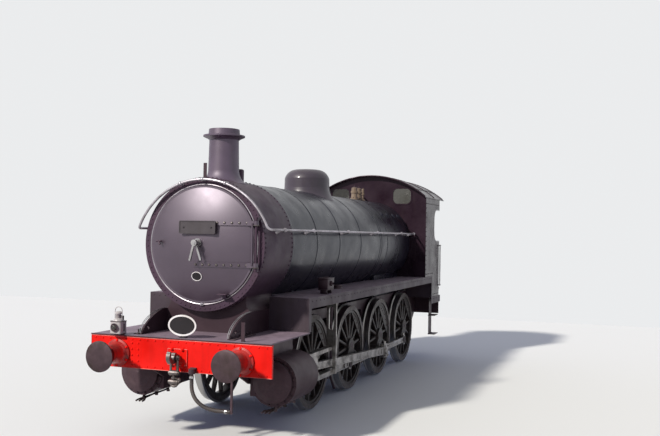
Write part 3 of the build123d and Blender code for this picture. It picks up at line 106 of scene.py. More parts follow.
AXLE_Z = joint_places["wheelset_3_spin"].z - FLANGE
TREAD_R = AXLE_Z
CYLINDER_X = joint_places["connecting_rod_left_pin"].x


# Shape helpers, which all add to one mesh until piece() makes an object of it

bm = bmesh.new()


def turns(count, first=0.0):
    """Angles of equal steps around a full turn, shifted by this part of a step."""
    return [2 * pi * (i + first) / count for i in range(count)]


def spoke(angle, u=X, v=Z):
    """The direction at an angle from u towards v."""
    return u * cos(angle) + v * sin(angle)


def skin(rings):
    """Faces between each ring and the next one of as many points."""
    for low, high in zip(rings, rings[1:]):
        for i in range(len(low)):
            j = (i + 1) % len(low)
            bm.faces.new((low[i], low[j], high[j], high[i]))


def turned(start, axis, profile, steps=24, closed=False):
    """Turns a profile of (distance along the axis, radius); closed joins its ends."""
    axis = axis.normalized()
    side = axis.orthogonal().normalized()
    other = axis.cross(side)
    rings = []
    for along, radius in profile:
        middle = start + axis * along
        if radius < 1e-6:
            rings.append([bm.verts.new(middle)])
        else:
            rings.append([bm.verts.new(middle + spoke(a, side, other) * radius) for a in turns(steps)])
    if closed:
        rings.append(rings[0])
    for low, high in zip(rings, rings[1:]):
        for i in range(steps):
            j = (i + 1) % steps
            corners = [low[i % len(low)], low[j % len(low)], high[j % len(high)], high[i % len(high)]]
            corners = [v for k, v in enumerate(corners) if v not in corners[:k]]
            if len(corners) > 2:
                bm.faces.new(corners)


def cylinder(start, axis, radius, length, steps=24):
    turned(start, axis, ((0, 0), (0, radius), (length, radius), (length, 0)), steps)


def block(centre, sizes, u=X, v=Y, bevel=0.003):
    """A block with softened edges, its sides along u, v and their cross product."""
    w = u.cross(v)
    shape = Matrix((u * sizes[0], v * sizes[1], w * sizes[2])).transposed().to_4x4()
    made = bmesh.ops.create_cube(bm, size=1, matrix=Matrix.Translation(centre) @ shape)
    edges = dict.fromkeys(edge for vert in made["verts"] for edge in vert.link_edges)
    if bevel:
        bmesh.ops.bevel(bm, geom=list(edges), offset=bevel, segments=2, affect="EDGES", profile=0.5)


def plate(outline, origin, u, v, thickness):
    """A plate of an outline with points along u and v, thickened along their cross product."""
    w = u.cross(v).normalized() * thickness
    low = [bm.verts.new(origin + u * a + v * b) for a, b in outline]
    high = [bm.verts.new(vert.co + w) for vert in low]
    bm.faces.new(low)
    bm.faces.new(high)
    skin([low, high])


def frame_ring(outer, inner, origin, u, v, thickness):
    """A flat ring between two outlines of as many points."""
    w = u.cross(v).normalized() * thickness
    loops = []
    for outline, lift in ((outer, Vector()), (outer, w), (inner, w), (inner, Vector())):
        loops.append([bm.verts.new(origin + u * a + v * b + lift) for a, b in outline])
    skin(loops + loops[:1])


def oval(width, height, count=48):
    return [(width / 2 * cos(a), height / 2 * sin(a)) for a in turns(count)]


def rounded_box(width, height, radius, steps=6):
    """Outline of a rectangle with round corners about the origin."""
    points = []
    for sx, sy, first in ((1, 1, 0), (-1, 1, 90), (-1, -1, 180), (1, -1, 270)):
        for i in range(steps + 1):
            a = radians(first + 90 * i / steps)
            x = sx * (width / 2 - radius) + radius * cos(a)
            points.append((x, sy * (height / 2 - radius) + radius * sin(a)))
    return points


def softened(points, radius, steps=5):
    """A path of straight runs with an arc of about this radius at each corner."""
    path = [points[0]]
    for before, here, after in zip(points, points[1:], points[2:]):
        back, ahead = before - here, after - here
        reach = min(radius, 0.49 * back.length, 0.49 * ahead.length)
        start = here + back.normalized() * reach
        end = here + ahead.normalized() * reach
        for i in range(steps + 1):
            t = i / steps
            path.append(start * (1 - t) ** 2 + here * 2 * t * (1 - t) + end * t ** 2)
    path.append(points[-1])
    return path


def pipe(points, radius, bend=0.0, steps=12):
    """A round bar along a path, closed at both ends."""
    path = softened(points, bend) if bend else points
    side = (path[1] - path[0]).orthogonal().normalized()
    rings = []
    for i, point in enumerate(path):
        ahead = (path[min(i + 1, len(path) - 1)] - path[max(i - 1, 0)]).normalized()
        side = (side - ahead * side.dot(ahead)).normalized()
        other = ahead.cross(side)
        rings.append([bm.verts.new(point + spoke(a, side, other) * radius) for a in turns(steps)])
    skin(rings)
    bm.faces.new(rings[0])
    bm.faces.new(rings[-1])


def rivet(place, normal, radius=0.013):
    """A round head standing on a surface."""
    dome = ((0.3 * radius, 0.94 * radius), (0.62 * radius, 0.66 * radius), (0.8 * radius, 0))
    turned(place, normal, ((-0.002, radius), *dome), 8)


def rivet_line(count, first, step, normal, radius=0.01):
    """Rivets in a straight line, from the place of the first one."""
    for i in range(count):
        rivet(first + step * i, normal, radius)


def nut(place, normal, size):
    """A hexagon nut on a washer, with the stud's end."""
    turned(place, normal, ((-0.002, size * 1.25), (0.004, size * 1.25), (0.004, 0)), 16)
    turned(place, normal, ((0, size), (size * 0.85, size), (size * 0.95, size * 0.85), (size * 0.95, 0)), 6)
    turned(place, normal, ((0, size * 0.5), (size * 1.4, size * 0.5), (size * 1.5, 0)), 10)


def nut_ring(count, middle, radius, normal, size, first=0.0, u=X, v=Z):
    for a in turns(count, first):
        nut(middle + spoke(a, u, v) * radius, normal, size)


def add_object(name, data):
    made = bpy.data.objects.new(name, data)
    bpy.context.scene.collection.objects.link(made)
    return made


def piece(name, material, body="root", sharp=32):
    """Makes an object of the mesh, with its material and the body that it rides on."""
    global bm
    bmesh.ops.recalc_face_normals(bm, faces=bm.faces)
    mesh = bpy.data.meshes.new(name)
    bm.to_mesh(mesh)
    bm.free()
    bm = bmesh.new()
    mesh.shade_smooth()
    mesh.set_sharp_from_angle(angle=radians(sharp))
    mesh.materials.append(material)
    made = add_object(name, mesh)
    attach(made, body)
    return made


# Material helpers, which all add to the node tree in work

def fill(made, inputs):
    """Links inputs of a node, by name or number, or sets them to a value."""
    for key, value in inputs.items():
        socket = made.inputs[key]
        if isinstance(value, bpy.types.NodeSocket):
            tree.links.new(value, socket)
        elif socket.type == "RGBA":
            socket.default_value = (*value, 1)
        else:
            socket.default_value = value


def node(kind, inputs=None, **settings):
    made = tree.nodes.new("ShaderNode" + kind)
    for key, value in settings.items():
        setattr(made, key, value)
    fill(made, inputs or {})
    return made


def mix(factor, first, second):
    return node("Mix", {0: factor, 6: first, 7: second}, data_type="RGBA").outputs[2]


def maths(operation, first, second):
    return node("Math", {0: first, 1: second}, operation=operation, use_clamp=True).outputs[0]


def spread(value, low, high, to_low=0.0, to_high=1.0):
    """Stretches the part of a value between low and high to a new range."""
    return node("MapRange", {0: value, 1: low, 2: high, 3: to_low, 4: to_high}).outputs[0]


def own_place():
    return node("TexCoord").outputs["Object"]


def axes(vector):
    return node("SeparateXYZ", {0: vector}).outputs


def noise(scale, stretch=(1, 1, 1), detail=4, roughness=0.55):
    """Noise in the piece's own metres, from about 0.3 to 0.7."""
    place = node("Mapping", {"Vector": own_place(), "Scale": stretch}).outputs[0]
    settings = {"Vector": place, "Scale": scale, "Detail": detail, "Roughness": roughness}
    return node("TexNoise", settings).outputs["Fac"]


def bumps(*layers):
    """Stacks bumps of (height, distance, strength) and returns the bent normal."""
    below = {}
    for height, distance, strength in layers:
        inputs = {"Height": height, "Distance": distance, "Strength": strength}
        below = {"Normal": node("Bump", {**inputs, **below}).outputs[0]}
    return below["Normal"]


def facing_up():
    """1 on level tops and 0 on walls."""
    return spread(axes(node("NewGeometry").outputs["Normal"])[2], 0.55, 0.95)


def near_rail():
    """1 near the rail, where road dust gathers, and 0 from 1.5 m up."""
    return spread(axes(own_place())[2], 1.5, 0.2)


def shows_background():
    """1 for rays from the camera, a glossy surface or glass, and 0 for those that light the scene."""
    rays = node("LightPath").outputs
    looked_at = maths("MAXIMUM", rays["Is Camera Ray"], rays["Is Transmission Ray"])
    return maths("MAXIMUM", looked_at, rays["Is Glossy Ray"])


def new_material(name):
    global tree
    made = bpy.data.materials.new(name)
    made.use_nodes = True
    tree = made.node_tree
    return made, tree.nodes["Principled BSDF"]


OIL = (0.035, 0.025, 0.02)
WHITE = (1, 1, 1)
# Paints reflect a little less than outdoors, as the pale floor and background are all around them
PALE_ROOM = 0.8


def painted(name, colour, roughness, grime=0.3, dust_and_lit_tops=0.3, coat=0.0, wobble=0.0, road=0.0, specular=0.5,
            grain=0.35, ior=1.5, sheen=WHITE, uneven=0.06, grime_tone=OIL, dust_and_lit_top_tone=(0.16, 0.13, 0.11)):
    """Brushed enamel with uneven gloss, streaks, dust on its tops and road dirt low down; on some paints the
    tone on tops is also painted light of the sun on them.
    """
    made, shader = new_material(name)
    patches = spread(noise(1.7, detail=6), 0.38, 0.66)
    tint = mix(patches, colour, [min(1, c * 1.5 + 0.008) for c in colour])
    streaks = spread(noise(5.0, stretch=(1.6, 1.6, 0.16), detail=7), 0.48, 0.72, 0, grime)
    tint = mix(streaks, tint, grime_tone)
    # On level tops: dust, which on the platform and running plate paints also stands for painted light of the
    # sun on their tops
    specks = spread(noise(9.0, detail=8, roughness=0.7), 0.42, 0.68)
    dust_lit_tops_and_road = maths("MULTIPLY", facing_up(), spread(specks, 0, 1, 0.35 * dust_and_lit_tops, dust_and_lit_tops))
    if road:
        low_dirt = maths("MULTIPLY", near_rail(), spread(specks, 0, 1, 0.3 * road, road))
        dust_lit_tops_and_road = maths("ADD", dust_lit_tops_and_road, low_dirt)
    gloss = spread(noise(3.1, detail=6), 0.35, 0.68, roughness - uneven, roughness + 2 * uneven)
    dull = spread(dust_lit_tops_and_road, 0, 1, 0, 0.4)
    layers = [(noise(130, detail=3), 0.0006, grain)]
    if wobble:
        layers.append((noise(1.6, detail=2), wobble, 0.6))
    fill(shader, {
        "Base Color": mix(dust_lit_tops_and_road, tint, dust_and_lit_top_tone),
        "Roughness": maths("ADD", gloss, dull),
        "Normal": bumps(*layers),
        "IOR": ior,
        "Specular IOR Level": specular * PALE_ROOM,
        "Specular Tint": sheen,
        "Coat Weight": coat,
        "Coat Roughness": 0.12,
    })
    return made


def steel(name, colour, roughness, grime=0.4, metallic=1.0, grain=(40, 4, 40)):
    """Machined or forged steel with fine drawn marks and patches of old oil."""
    made, shader = new_material(name)
    dulled = spread(noise(12, detail=5), 0.35, 0.65)
    tone = mix(dulled, colour, [c * 0.72 for c in colour])
    oil = spread(noise(3.4, detail=7, roughness=0.65), 0.46, 0.62, 0, grime)
    marks = noise(6, stretch=grain, detail=4)
    gloss = spread(marks, 0.3, 0.7, roughness - 0.06, roughness + 0.12)
    fill(shader, {
        "Base Color": mix(oil, tone, OIL),
        "Metallic": metallic,
        "Roughness": maths("ADD", gloss, spread(oil, 0, 1, 0, 0.25)),
        "Normal": bumps((marks, 0.0005, 0.3)),
    })
    return made


def wheel_finish(name, place):
    """Greasy black wheel with an oily tyre face and a bare tread, by distance from its axle."""
    made, shader = new_material(name)
    offset = node("VectorMath", {0: own_place(), 1: place}, operation="SUBTRACT").outputs[0]
    flat = node("VectorMath", {0: offset, 1: (0, 1, 1)}, operation="MULTIPLY").outputs[0]
    radius = node("VectorMath", {0: flat}, operation="LENGTH").outputs["Value"]
    specks = spread(noise(14, detail=8, roughness=0.7), 0.4, 0.7)
    paint = mix(specks, (0.016, 0.014, 0.015), (0.07, 0.05, 0.04))
    tyre = maths("GREATER_THAN", radius, TREAD_R - 0.074)
    tread = maths("GREATER_THAN", radius, TREAD_R - 0.004)
    tint = mix(tyre, paint, mix(specks, (0.1, 0.085, 0.075), (0.05, 0.035, 0.028)))
    fill(shader, {
        "Base Color": mix(tread, tint, (0.42, 0.41, 0.4)),
        "Metallic": tread,
        "Roughness": mix(tread, spread(specks, 0, 1, 0.42, 0.68), (0.3, 0.3, 0.3)),
        "Normal": bumps((noise(60, detail=5), 0.0012, 0.5)),
    })
    return made


def glass_finish(name):
    made, shader = new_material(name)
    smears = spread(noise(9, stretch=(1, 1, 0.3), detail=6), 0.4, 0.7, 0.02, 0.22)
    fill(shader, {
        "Base Color": (0.12, 0.115, 0.1),
        "Transmission Weight": 0.85,
        "IOR": 1.45,
        "Roughness": smears,
    })
    return made


def rubber_finish(name):
    made, shader = new_material(name)
    specks = spread(noise(25, detail=6), 0.4, 0.68)
    fill(shader, {
        "Base Color": mix(specks, (0.03, 0.026, 0.026), (0.085, 0.068, 0.06)),
        "Roughness": spread(specks, 0, 1, 0.5, 0.8),
        "Normal": bumps((noise(90, detail=4), 0.001, 0.5)),
    })
    return made


def wood_finish(name):
    made, shader = new_material(name)
    grain = noise(7, stretch=(9, 0.7, 9), detail=6, roughness=0.7)
    tint = mix(spread(grain, 0.35, 0.65), (0.09, 0.055, 0.03), (0.24, 0.16, 0.095))
    coal = spread(noise(4, detail=7), 0.45, 0.62, 0, 0.8)
    fill(shader, {
        "Base Color": mix(coal, tint, (0.02, 0.018, 0.017)),
        "Roughness": 0.72,
        "Normal": bumps((grain, 0.002, 0.5)),
    })
    return made


smokebox_paint = painted("smokebox_paint", (0.034, 0.017, 0.031), 0.5, dust_and_lit_tops=0.2, sheen=(1.0, 0.84, 1.0))
door_paint = painted(
    "door_paint", (0.019, 0.009, 0.018), 0.43, grime=0.25, dust_and_lit_tops=0.05, specular=1.0, grain=0.12, ior=1.68,
    sheen=(0.95, 0.86, 1.0), uneven=0.02, grime_tone=(0.02, 0.008, 0.014))
# Its blue reflection tint and faintly blue base are painted reflection, a blue sky mirrored along the boiler
boiler_paint = painted(
    "boiler_paint", (0.009, 0.008, 0.015), 0.3, grime=0.12, dust_and_lit_tops=0.12, coat=0.16, specular=0.3,
    wobble=0.002, grain=0.03, sheen=(0.62, 0.72, 1.0))
dome_paint = painted("dome_paint", (0.038, 0.028, 0.042), 0.38, grime=0.2, dust_and_lit_tops=0.2, coat=0.3, grain=0.15)
# The pale tone on the platform's level tops is partly dust and partly painted light, the sun falling on them
platform_paint = painted(
    "platform_paint", (0.15, 0.11, 0.14), 0.5, grime=0.5, dust_and_lit_tops=0.5, dust_and_lit_top_tone=(0.36, 0.28, 0.34))
frame_paint = painted(
    "frame_paint", (0.024, 0.011, 0.016), 0.45, grime=0.5, dust_and_lit_tops=0.35, road=0.55, sheen=(1.0, 0.85, 0.94),
    grime_tone=(0.036, 0.02, 0.022), dust_and_lit_top_tone=(0.16, 0.115, 0.12))
# The pale tone on the plates' level tops is partly dust and partly painted light, the sun falling on them
plate_paint = painted(
    "plate_paint", (0.036, 0.027, 0.034), 0.5, grime=0.4, dust_and_lit_tops=0.75, sheen=(1.0, 0.85, 0.95),
    dust_and_lit_top_tone=(0.34, 0.27, 0.32))
cab_paint = painted(
    "cab_paint", (0.016, 0.007, 0.013), 0.27, grime=0.15, dust_and_lit_tops=0.1, specular=0.25, wobble=0.002,
    grain=0.08, sheen=(1.0, 0.85, 0.96))
chimney_paint = painted(
    "chimney_paint", (0.054, 0.036, 0.06), 0.43, dust_and_lit_tops=0.1, specular=1.0, ior=1.58, sheen=(0.97, 0.88, 1.0))
red_paint = painted(
    "red_paint", (0.72, 0.006, 0.002), 0.36, grime=0.2, dust_and_lit_tops=0.12, coat=0.05, specular=0.2,
    grime_tone=(0.3, 0.01, 0.006), dust_and_lit_top_tone=(0.55, 0.1, 0.08))
worn_red = painted("worn_red", (0.62, 0.2, 0.16), 0.5, grime=0.7, dust_and_lit_tops=0.1, grime_tone=(0.3, 0.03, 0.02))
stock_paint = painted(
    "stock_paint", (0.34, 0.01, 0.007), 0.4, grime=0.8, coat=0.2, grime_tone=(0.05, 0.012, 0.01),
    dust_and_lit_top_tone=(0.3, 0.1, 0.08))
white_enamel = painted(
    "white_enamel", (0.78, 0.76, 0.72), 0.35, grime=0.25, dust_and_lit_tops=0.1, grime_tone=(0.3, 0.26, 0.22),
    dust_and_lit_top_tone=(0.5, 0.46, 0.4))
plate_grey = painted("plate_grey", (0.05, 0.043, 0.048), 0.42, dust_and_lit_tops=0.1)
plate_black = painted("plate_black", (0.01, 0.008, 0.01), 0.5, grime=0.1, dust_and_lit_tops=0.1, specular=0.3)
lamp_paint = painted(
    "lamp_paint", (0.42, 0.4, 0.39), 0.38, grime=0.75, dust_and_lit_tops=0.1, grime_tone=(0.045, 0.038, 0.04))
valve_bronze = painted("valve_bronze", (0.17, 0.125, 0.085), 0.42, grime=0.5)
tube_rust = painted(
    "tube_rust", (0.075, 0.045, 0.033), 0.85, grime=0.5, dust_and_lit_tops=0.6, specular=0.2,
    dust_and_lit_top_tone=(0.13, 0.09, 0.07))
bright_steel = steel("bright_steel", (0.56, 0.55, 0.56), 0.27, grime=0.35)
rail_steel = steel("rail_steel", (0.46, 0.43, 0.47), 0.38)
rod_steel = steel("rod_steel", (0.46, 0.44, 0.43), 0.33, grime=0.6, grain=(4, 40, 40))
dark_steel = steel("dark_steel", (0.082, 0.054, 0.062), 0.42, grime=0.7, metallic=0.75)
hook_steel = steel("hook_steel", (0.19, 0.17, 0.165), 0.4, grime=0.6, metallic=0.9)
brass_metal = steel("brass_metal", (0.62, 0.4, 0.14), 0.28, grime=0.35)
copper_metal = steel("copper_metal", (0.55, 0.24, 0.13), 0.34, grime=0.45)
hose_rubber = rubber_finish("hose_rubber")
clear_glass = glass_finish("clear_glass")
floor_boards = wood_finish("floor_boards")

node_finishes = [
    (smokebox_paint, "smokebox smokebox_ring snifting_valve"),
    (door_paint, "smokebox_door door_hinges"),
    (boiler_paint, "boiler_barrel firebox"),
    (dome_paint, "dome"),
    (cab_paint, "cab_front cab_side_left cab_side_right cab_roof"),
    (chimney_paint, "chimney"),
    (frame_paint, "frame_plates frame_stretchers saddle ashpan cylinder_left cylinder_right brake_gear "
                  "sand_gear steps drag_beam lamp_irons springs axleboxes hose_brackets backhead_fittings"),
    (platform_paint, "front_platform"),
    (plate_paint, "running_plate_left running_plate_right"),
    (red_paint, "buffer_beam"),
    (stock_paint, "buffer_stocks"),
    (dark_steel, "buffer_heads axle_1 axle_2 axle_3 axle_4"),
    (hook_steel, "draw_hook screw_coupling"),
    (rail_steel, "handrails"),
    (bright_steel, "door_dart"),
    (rod_steel, "coupling_rods_left coupling_rods_right connecting_rod_left connecting_rod_right "
                "crosshead_left crosshead_right slide_bars_left slide_bars_right"),
    (tube_rust, "blast_pipe"),
    (clear_glass, "cab_glass"),
    (floor_boards, "cab_floor"),
    (lamp_paint, "headlamp"),
    (valve_bronze, "safety_valves"),
    (hose_rubber, "brake_hose"),
]
for number, row in enumerate(AXLES, start=1):
    finish = wheel_finish(f"wheel_finish_{number}", at(0, row, AXLE_Z))
    node_finishes.append((finish, f"wheels_{number}"))
for material, node_names in node_finishes:
    for node_name in node_names.split():
        node_mesh = frame["nodes"][node_name].data
        node_mesh.materials.clear()
        node_mesh.materials.append(material)


# Boiler: hoops over the cladding joints, rows of rivets on the smokebox, and washout plugs

def on_drum(radius, back, angle):
    """A point on the boiler and the way out from it, by the angle from the top towards the left."""
    away = spoke(angle, Z, X)
    return at(0, back, BOILER_Z) + away * radius, away


HOOPS = (SMOKEBOX_BACK + 0.03, 2.54, 3.56, 4.67, 5.84, 5.95, FIREBOX_FRONT + 0.03, 7.15, CAB_FRONT - 0.04)
HOOP = 0.055
foot, edge, crown = BOILER_R - 0.004, BOILER_R + 0.003, BOILER_R + 0.005
section = ((0, foot), (0, edge), (0.006, crown), (HOOP - 0.006, crown), (HOOP, edge), (HOOP, foot))
for row in HOOPS:
    turned(at(0, row - HOOP / 2, BOILER_Z), Y, section, 144, closed=True)
piece("boiler_bands", boiler_paint, sharp=50)

for row, skips_saddle in ((SMOKEBOX_FRONT + 0.04, False), (SMOKEBOX_BACK - 0.035, True)):
    for angle in turns(88, 0.5):
        spot, away = on_drum(SMOKEBOX_R, row, angle)
        if skips_saddle and away.z < 0 and abs(spot.x) < FRAME_OUTER + 0.02:
            continue
        rivet(spot, away, 0.014)
for angle in turns(72, 0.5):
    rivet(on_drum((SMOKEBOX_R + DOOR_R) / 2 + 0.02, SMOKEBOX_FRONT, angle)[0], -Y, 0.011)
piece("smokebox_rivets", smokebox_paint)

PLUG = ((-0.02, 0.062), (0.008, 0.062), (0.014, 0.056), (0.014, 0.03), (0.006, 0.028), (0.006, 0))
FIREBOX_SIDE = 0.605
MUD_DOORS = ((6.75, 1.15), (7.55, 1.15), (8.25, 1.15), (7.1, 1.55), (7.9, 1.55))
for row in (6.62, 6.98, 7.42, 7.78):
    for angle in (-50, 50):
        spot, away = on_drum(BOILER_R, row, radians(angle))
        turned(spot, away, PLUG, 28)
        turned(spot, away, ((0, 0.019), (0.03, 0.019), (0.032, 0)), 4)
for row, z in MUD_DOORS:
    for side in (-1, 1):
        spot = at(side * FIREBOX_SIDE, row, z)
        seat = spot - X * side * 0.004
        frame_ring(oval(0.17, 0.12, 32), oval(0.12, 0.08, 32), seat, Y * side, Z, 0.014)
        plate(oval(0.13, 0.09, 32), seat, Y * side, Z, 0.008)
        nut(spot + X * side * 0.004, X * side, 0.018)
piece("washout_plugs", boiler_paint)


# Handrail knobs, turned, one at each pillar

rails_low, rails_high = span("handrails")
RAIL_Z = 2.65
RAIL_R = 0.017
RAIL_X = (rails_high.x - rails_low.x) / 2 - RAIL_R
ARC_ROW = rails_low.y + RAIL_R
ARC_R = 1.021
ARC_MIDDLE = rails_high.z - RAIL_R - ARC_R


def ball(radius):
    return [(radius * cos(pi * i / 8), radius * sin(pi * i / 8)) for i in range(9)]


for side in (-1, 1):
    for row in (1.0, 2.05, 3.61, 5.25, 6.9, 7.9):
        spot = at(side * RAIL_X, row, RAIL_Z)
        away = (spot - at(0, row, BOILER_Z)).normalized()
        turned(spot, away, ball(0.032), 20)
        drum = SMOKEBOX_R if row < SMOKEBOX_BACK else BOILER_R
        foot = on_drum(drum, row, atan2(away.x, away.z))[0]
        flare = ((-0.01, 0.034), (0.01, 0.034), (0.022, 0.019), ((spot - foot).length - 0.02, 0.0165))
        turned(foot, away, flare, 20)
for x in (-0.33, 0, 0.33):
    spot = at(x, ARC_ROW, ARC_MIDDLE + sqrt(ARC_R ** 2 - x ** 2))
    turned(spot, Y, ball(0.029), 20)
    foot = spot + Y * (SMOKEBOX_FRONT - ARC_ROW)
    turned(foot, -Y, ((-0.01, 0.028), (0.008, 0.028), (0.018, 0.015), (0.04, 0.013)), 20)
piece("handrail_knobs", rail_steel, sharp=60)


# Smokebox door: strap rivets, blank plates, ring and small fittings, and what shows behind it

DOOR_RIM = DOOR_R - 0.025
DISH = 0.123
DISH_R = (DOOR_RIM ** 2 + DISH ** 2) / (2 * DISH)


def on_door(x, z, lift=0.0):
    """A point on the dished door and the way out from it."""
    up_by = z - BOILER_Z
    depth = sqrt(DISH_R ** 2 - x ** 2 - up_by ** 2)
    away = Vector((x, -depth, up_by)).normalized()
    return at(x, DOOR_FRONT + DISH_R - depth, z) + away * lift, away


for strap_z in (2.19, 2.73):
    for i in range(8):
        spot, away = on_door(-0.03 + 0.097 * i, strap_z, 0.016)
        rivet(spot, away, 0.018)
    knuckle = at(0.79, 0.53, strap_z - 0.031)
    turned(knuckle, Z, ((-0.004, 0.038), (0, 0.041), (0.006, 0.041), (0.01, 0.036)), closed=True)
piece("door_strap_rivets", hook_steel, "smokebox_door")

middle = at(-0.002, DOOR_FRONT - 0.02, 2.67)
face = middle - Y * 0.009
outline = rounded_box(0.53, 0.17, 0.018)
plate(outline, middle, X, Z, 0.01)
frame_ring(outline, rounded_box(0.506, 0.146, 0.01), face, X, Z, 0.008)
for x in (-0.2, 0.2):
    turned(middle + X * x, Y, ((0, 0.014), (0.045, 0.014)), 16)
    nut(face + X * x, -Y, 0.011)
piece("number_plate", plate_grey, "smokebox_door")

spot, away = on_door(-0.03, 2.033, 0.004)
up = (Z - away * Z.dot(away)).normalized()
plate(oval(0.15, 0.12), spot, up.cross(away), up, -0.008)
piece("shed_plate", plate_black, "smokebox_door")
frame_ring(oval(0.152, 0.122), oval(0.136, 0.106), spot + away * 0.004, up.cross(away), up, -0.006)
piece("shed_plate_rim", white_enamel, "smokebox_door")

RING = ((-0.002, 0.006), (0.01, 0.008), (0.014, 0.016), (0.01, 0.024), (-0.002, 0.026))
section = [(along, DOOR_R + past_door) for along, past_door in RING]
turned(at(0, SMOKEBOX_FRONT, BOILER_Z), -Y, section, 128, closed=True)
clip = at(0, SMOKEBOX_FRONT - 0.012, BOILER_Z - DOOR_R - 0.012)
block(clip, (0.05, 0.02, 0.05), bevel=0.004)
nut(clip - Y * 0.01, -Y, 0.014)
piece("door_ring", rail_steel)

spot = on_door(-0.61, 2.48)[0]
pipe([spot, spot - Y * 0.05, spot - Y * 0.06 + X * 0.03 - Z * 0.04], 0.012, bend=0.02)
pipe([spot - Y * 0.04 - X * 0.04, spot - Y * 0.04 + X * 0.03], 0.012)
spot = on_door(0.34, 1.81)[0]
block(spot - Y * 0.05, (0.13, 0.1, 0.012))
block(spot - Y * 0.008 - Z * 0.035, (0.05, 0.016, 0.07))
piece("door_small_fittings", smokebox_paint, "smokebox_door")

BAFFLE = ((-0.024, 0), (-0.024, 0.58), (-0.018, 0.6), (-0.012, 0.58), (-0.012, 0))
turned(at(0, DOOR_SEAT, BOILER_Z), Y, BAFFLE, 72)
nut_ring(6, at(0, DOOR_SEAT - 0.012, BOILER_Z), 0.5, Y, 0.02, u=Z, v=X)
piece("door_baffle", tube_rust, "smokebox_door")

TUBE_END = ((0.02, 0.026), (0.032, 0.026), (0.032, 0.02), (0.016, 0.019), (0.016, 0))
TUBE_ROW = SMOKEBOX_BACK - 0.004
PITCH = 0.075
cylinder(at(0, TUBE_ROW, BOILER_Z), -Y, SMOKEBOX_R - 0.02, 0.02, 72)
for j in range(-9, 10):
    for i in range(-10, 11):
        x = (i + 0.5 * (j % 2)) * PITCH
        lift = j * PITCH * 0.866
        if hypot(x, lift) < 0.7 and lift < 0.55:
            turned(at(x, TUBE_ROW, BOILER_Z + lift), -Y, TUBE_END, 12)
piece("tube_plate", tube_rust)

for lift in (0.04, -0.04):
    block(at(0, SMOKEBOX_FRONT + 0.05, BOILER_Z + lift), (1.5, 0.02, 0.07))
piece("door_bar", tube_rust)


# Oval plate at the front of the platform, blank

OVAL_X, OVAL_Z = 0.03, 1.442
OVAL_WIDTH, OVAL_HEIGHT, OVAL_RIM = 0.4, 0.265, 0.022
BRACKET_TOP = 1.4
middle = at(OVAL_X, 0.05, OVAL_Z)
outer = oval(OVAL_WIDTH, OVAL_HEIGHT)
inner = oval(OVAL_WIDTH - 2 * OVAL_RIM, OVAL_HEIGHT - 2 * OVAL_RIM)
plate(outer, middle, X, Z, 0.008)
block(at(OVAL_X, 0.06, (PLATFORM_TOP + BRACKET_TOP) / 2), (0.045, 0.012, BRACKET_TOP - PLATFORM_TOP))
block(at(OVAL_X, 0.08, PLATFORM_TOP + 0.006), (0.09, 0.06, 0.012))
piece("oval_plate", plate_black)
frame_ring(outer, inner, middle - Y * 0.008, X, Z, 0.006)
piece("oval_plate_rim", white_enamel)


# Buffer beam: rivets, the nuts of the buffers and hook, and worn edges

BUFFER_X, BUFFER_Z = 0.87, 1.054
STOCK_REACH = 0.19
for i in range(23):
    x = -1.21 + 0.11 * i
    for z in (BEAM_BOTTOM + 0.035, BEAM_TOP - 0.035):
        if abs(abs(x) - BUFFER_X) < STOCK_REACH and z < BUFFER_Z:
            continue
        rivet(at(x, 0, z), -Y)
for side in (-1, 1):
    for x in (0.575, 0.665):
        rivet_line(4, at(side * x, 0, 0.965), Z * 0.075, -Y, 0.015)
    nut_ring(6, at(side * BUFFER_X, -0.022, BUFFER_Z), 0.158, -Y, 0.016, first=0.5)
for x in (-0.075, 0.075):
    for lift in (-0.095, 0.095):
        nut(at(x, -0.014, BUFFER_Z + lift), -Y, 0.019)
piece("beam_rivets", red_paint)

for half, low, high, back in ((BEAM_HALF - 0.004, BEAM_BOTTOM + 0.004, BEAM_TOP - 0.01, 0),
                              (0.135, BUFFER_Z - 0.1, BUFFER_Z + 0.1, -0.014)):
    run = [at(x, back, z) for x, z in ((-half, high), (-half, low), (half, low), (half, high))]
    pipe(run + run[:1], 0.0035, steps=6)
piece("beam_worn_edges", worn_red)

block(at(0, -0.004, BEAM_TOP + 0.008), (2 * BEAM_HALF, 0.014, 0.014))
piece("platform_nosing", plate_paint)


# Frames above the platform: foot angles with their rivets, and a bright worn edge

for side in (-1, 1):
    face = side * FRAME_OUTER
    block(at(face + side * 0.008, 0.42, PLATFORM_TOP + 0.035), (0.012, 0.62, 0.07))
    block(at(face + side * 0.04, 0.42, PLATFORM_TOP + 0.006), (0.07, 0.62, 0.012))
    rivet_line(6, at(face + side * 0.014, 0.16, PLATFORM_TOP + 0.042), Y * 0.104, X * side, 0.013)
    rivet_line(5, at(face + side * 0.05, 0.21, PLATFORM_TOP + 0.012), Y * 0.104, Z, 0.013)
piece("frame_angles", frame_paint)

HUMP_START, HUMP_LENGTH = 0.11, 0.64
HUMP_FOOT = PLATFORM_TOP - 0.015
HUMP_RISE = span("frame_plates")[1].z - HUMP_FOOT
hump = [(HUMP_START + HUMP_LENGTH * (1 - cos(a)), HUMP_FOOT + HUMP_RISE * sin(a)) for a in turns(64)[1:17]]
for side in (-1, 1):
    for x in (FRAME_OUTER - 0.004, FRAME_OUTER - 0.025):
        pipe([at(side * x, back, z + 0.001) for back, z in hump], 0.004, steps=6)
piece("frame_worn_edges", bright_steel)


# Running plate: rivets in the valance, sand box lids and a mechanical box

for side in (-1, 1):
    rivet_line(48, at(side * PLATE_EDGE, 1.42, PLATE_TOP - 0.045), Y * 0.15, X * side)
    rivet_line(5, at(side * PLATE_EDGE, 8.72, BEAM_TOP - 0.03), Y * 0.15, X * side)
    for i in range(6):
        for z in (1.7, 1.32):
            rivet(at(side * (0.7 + 0.095 * i), DROP_PLATE, z), -Y, 0.01)
piece("valance_rivets", plate_paint)

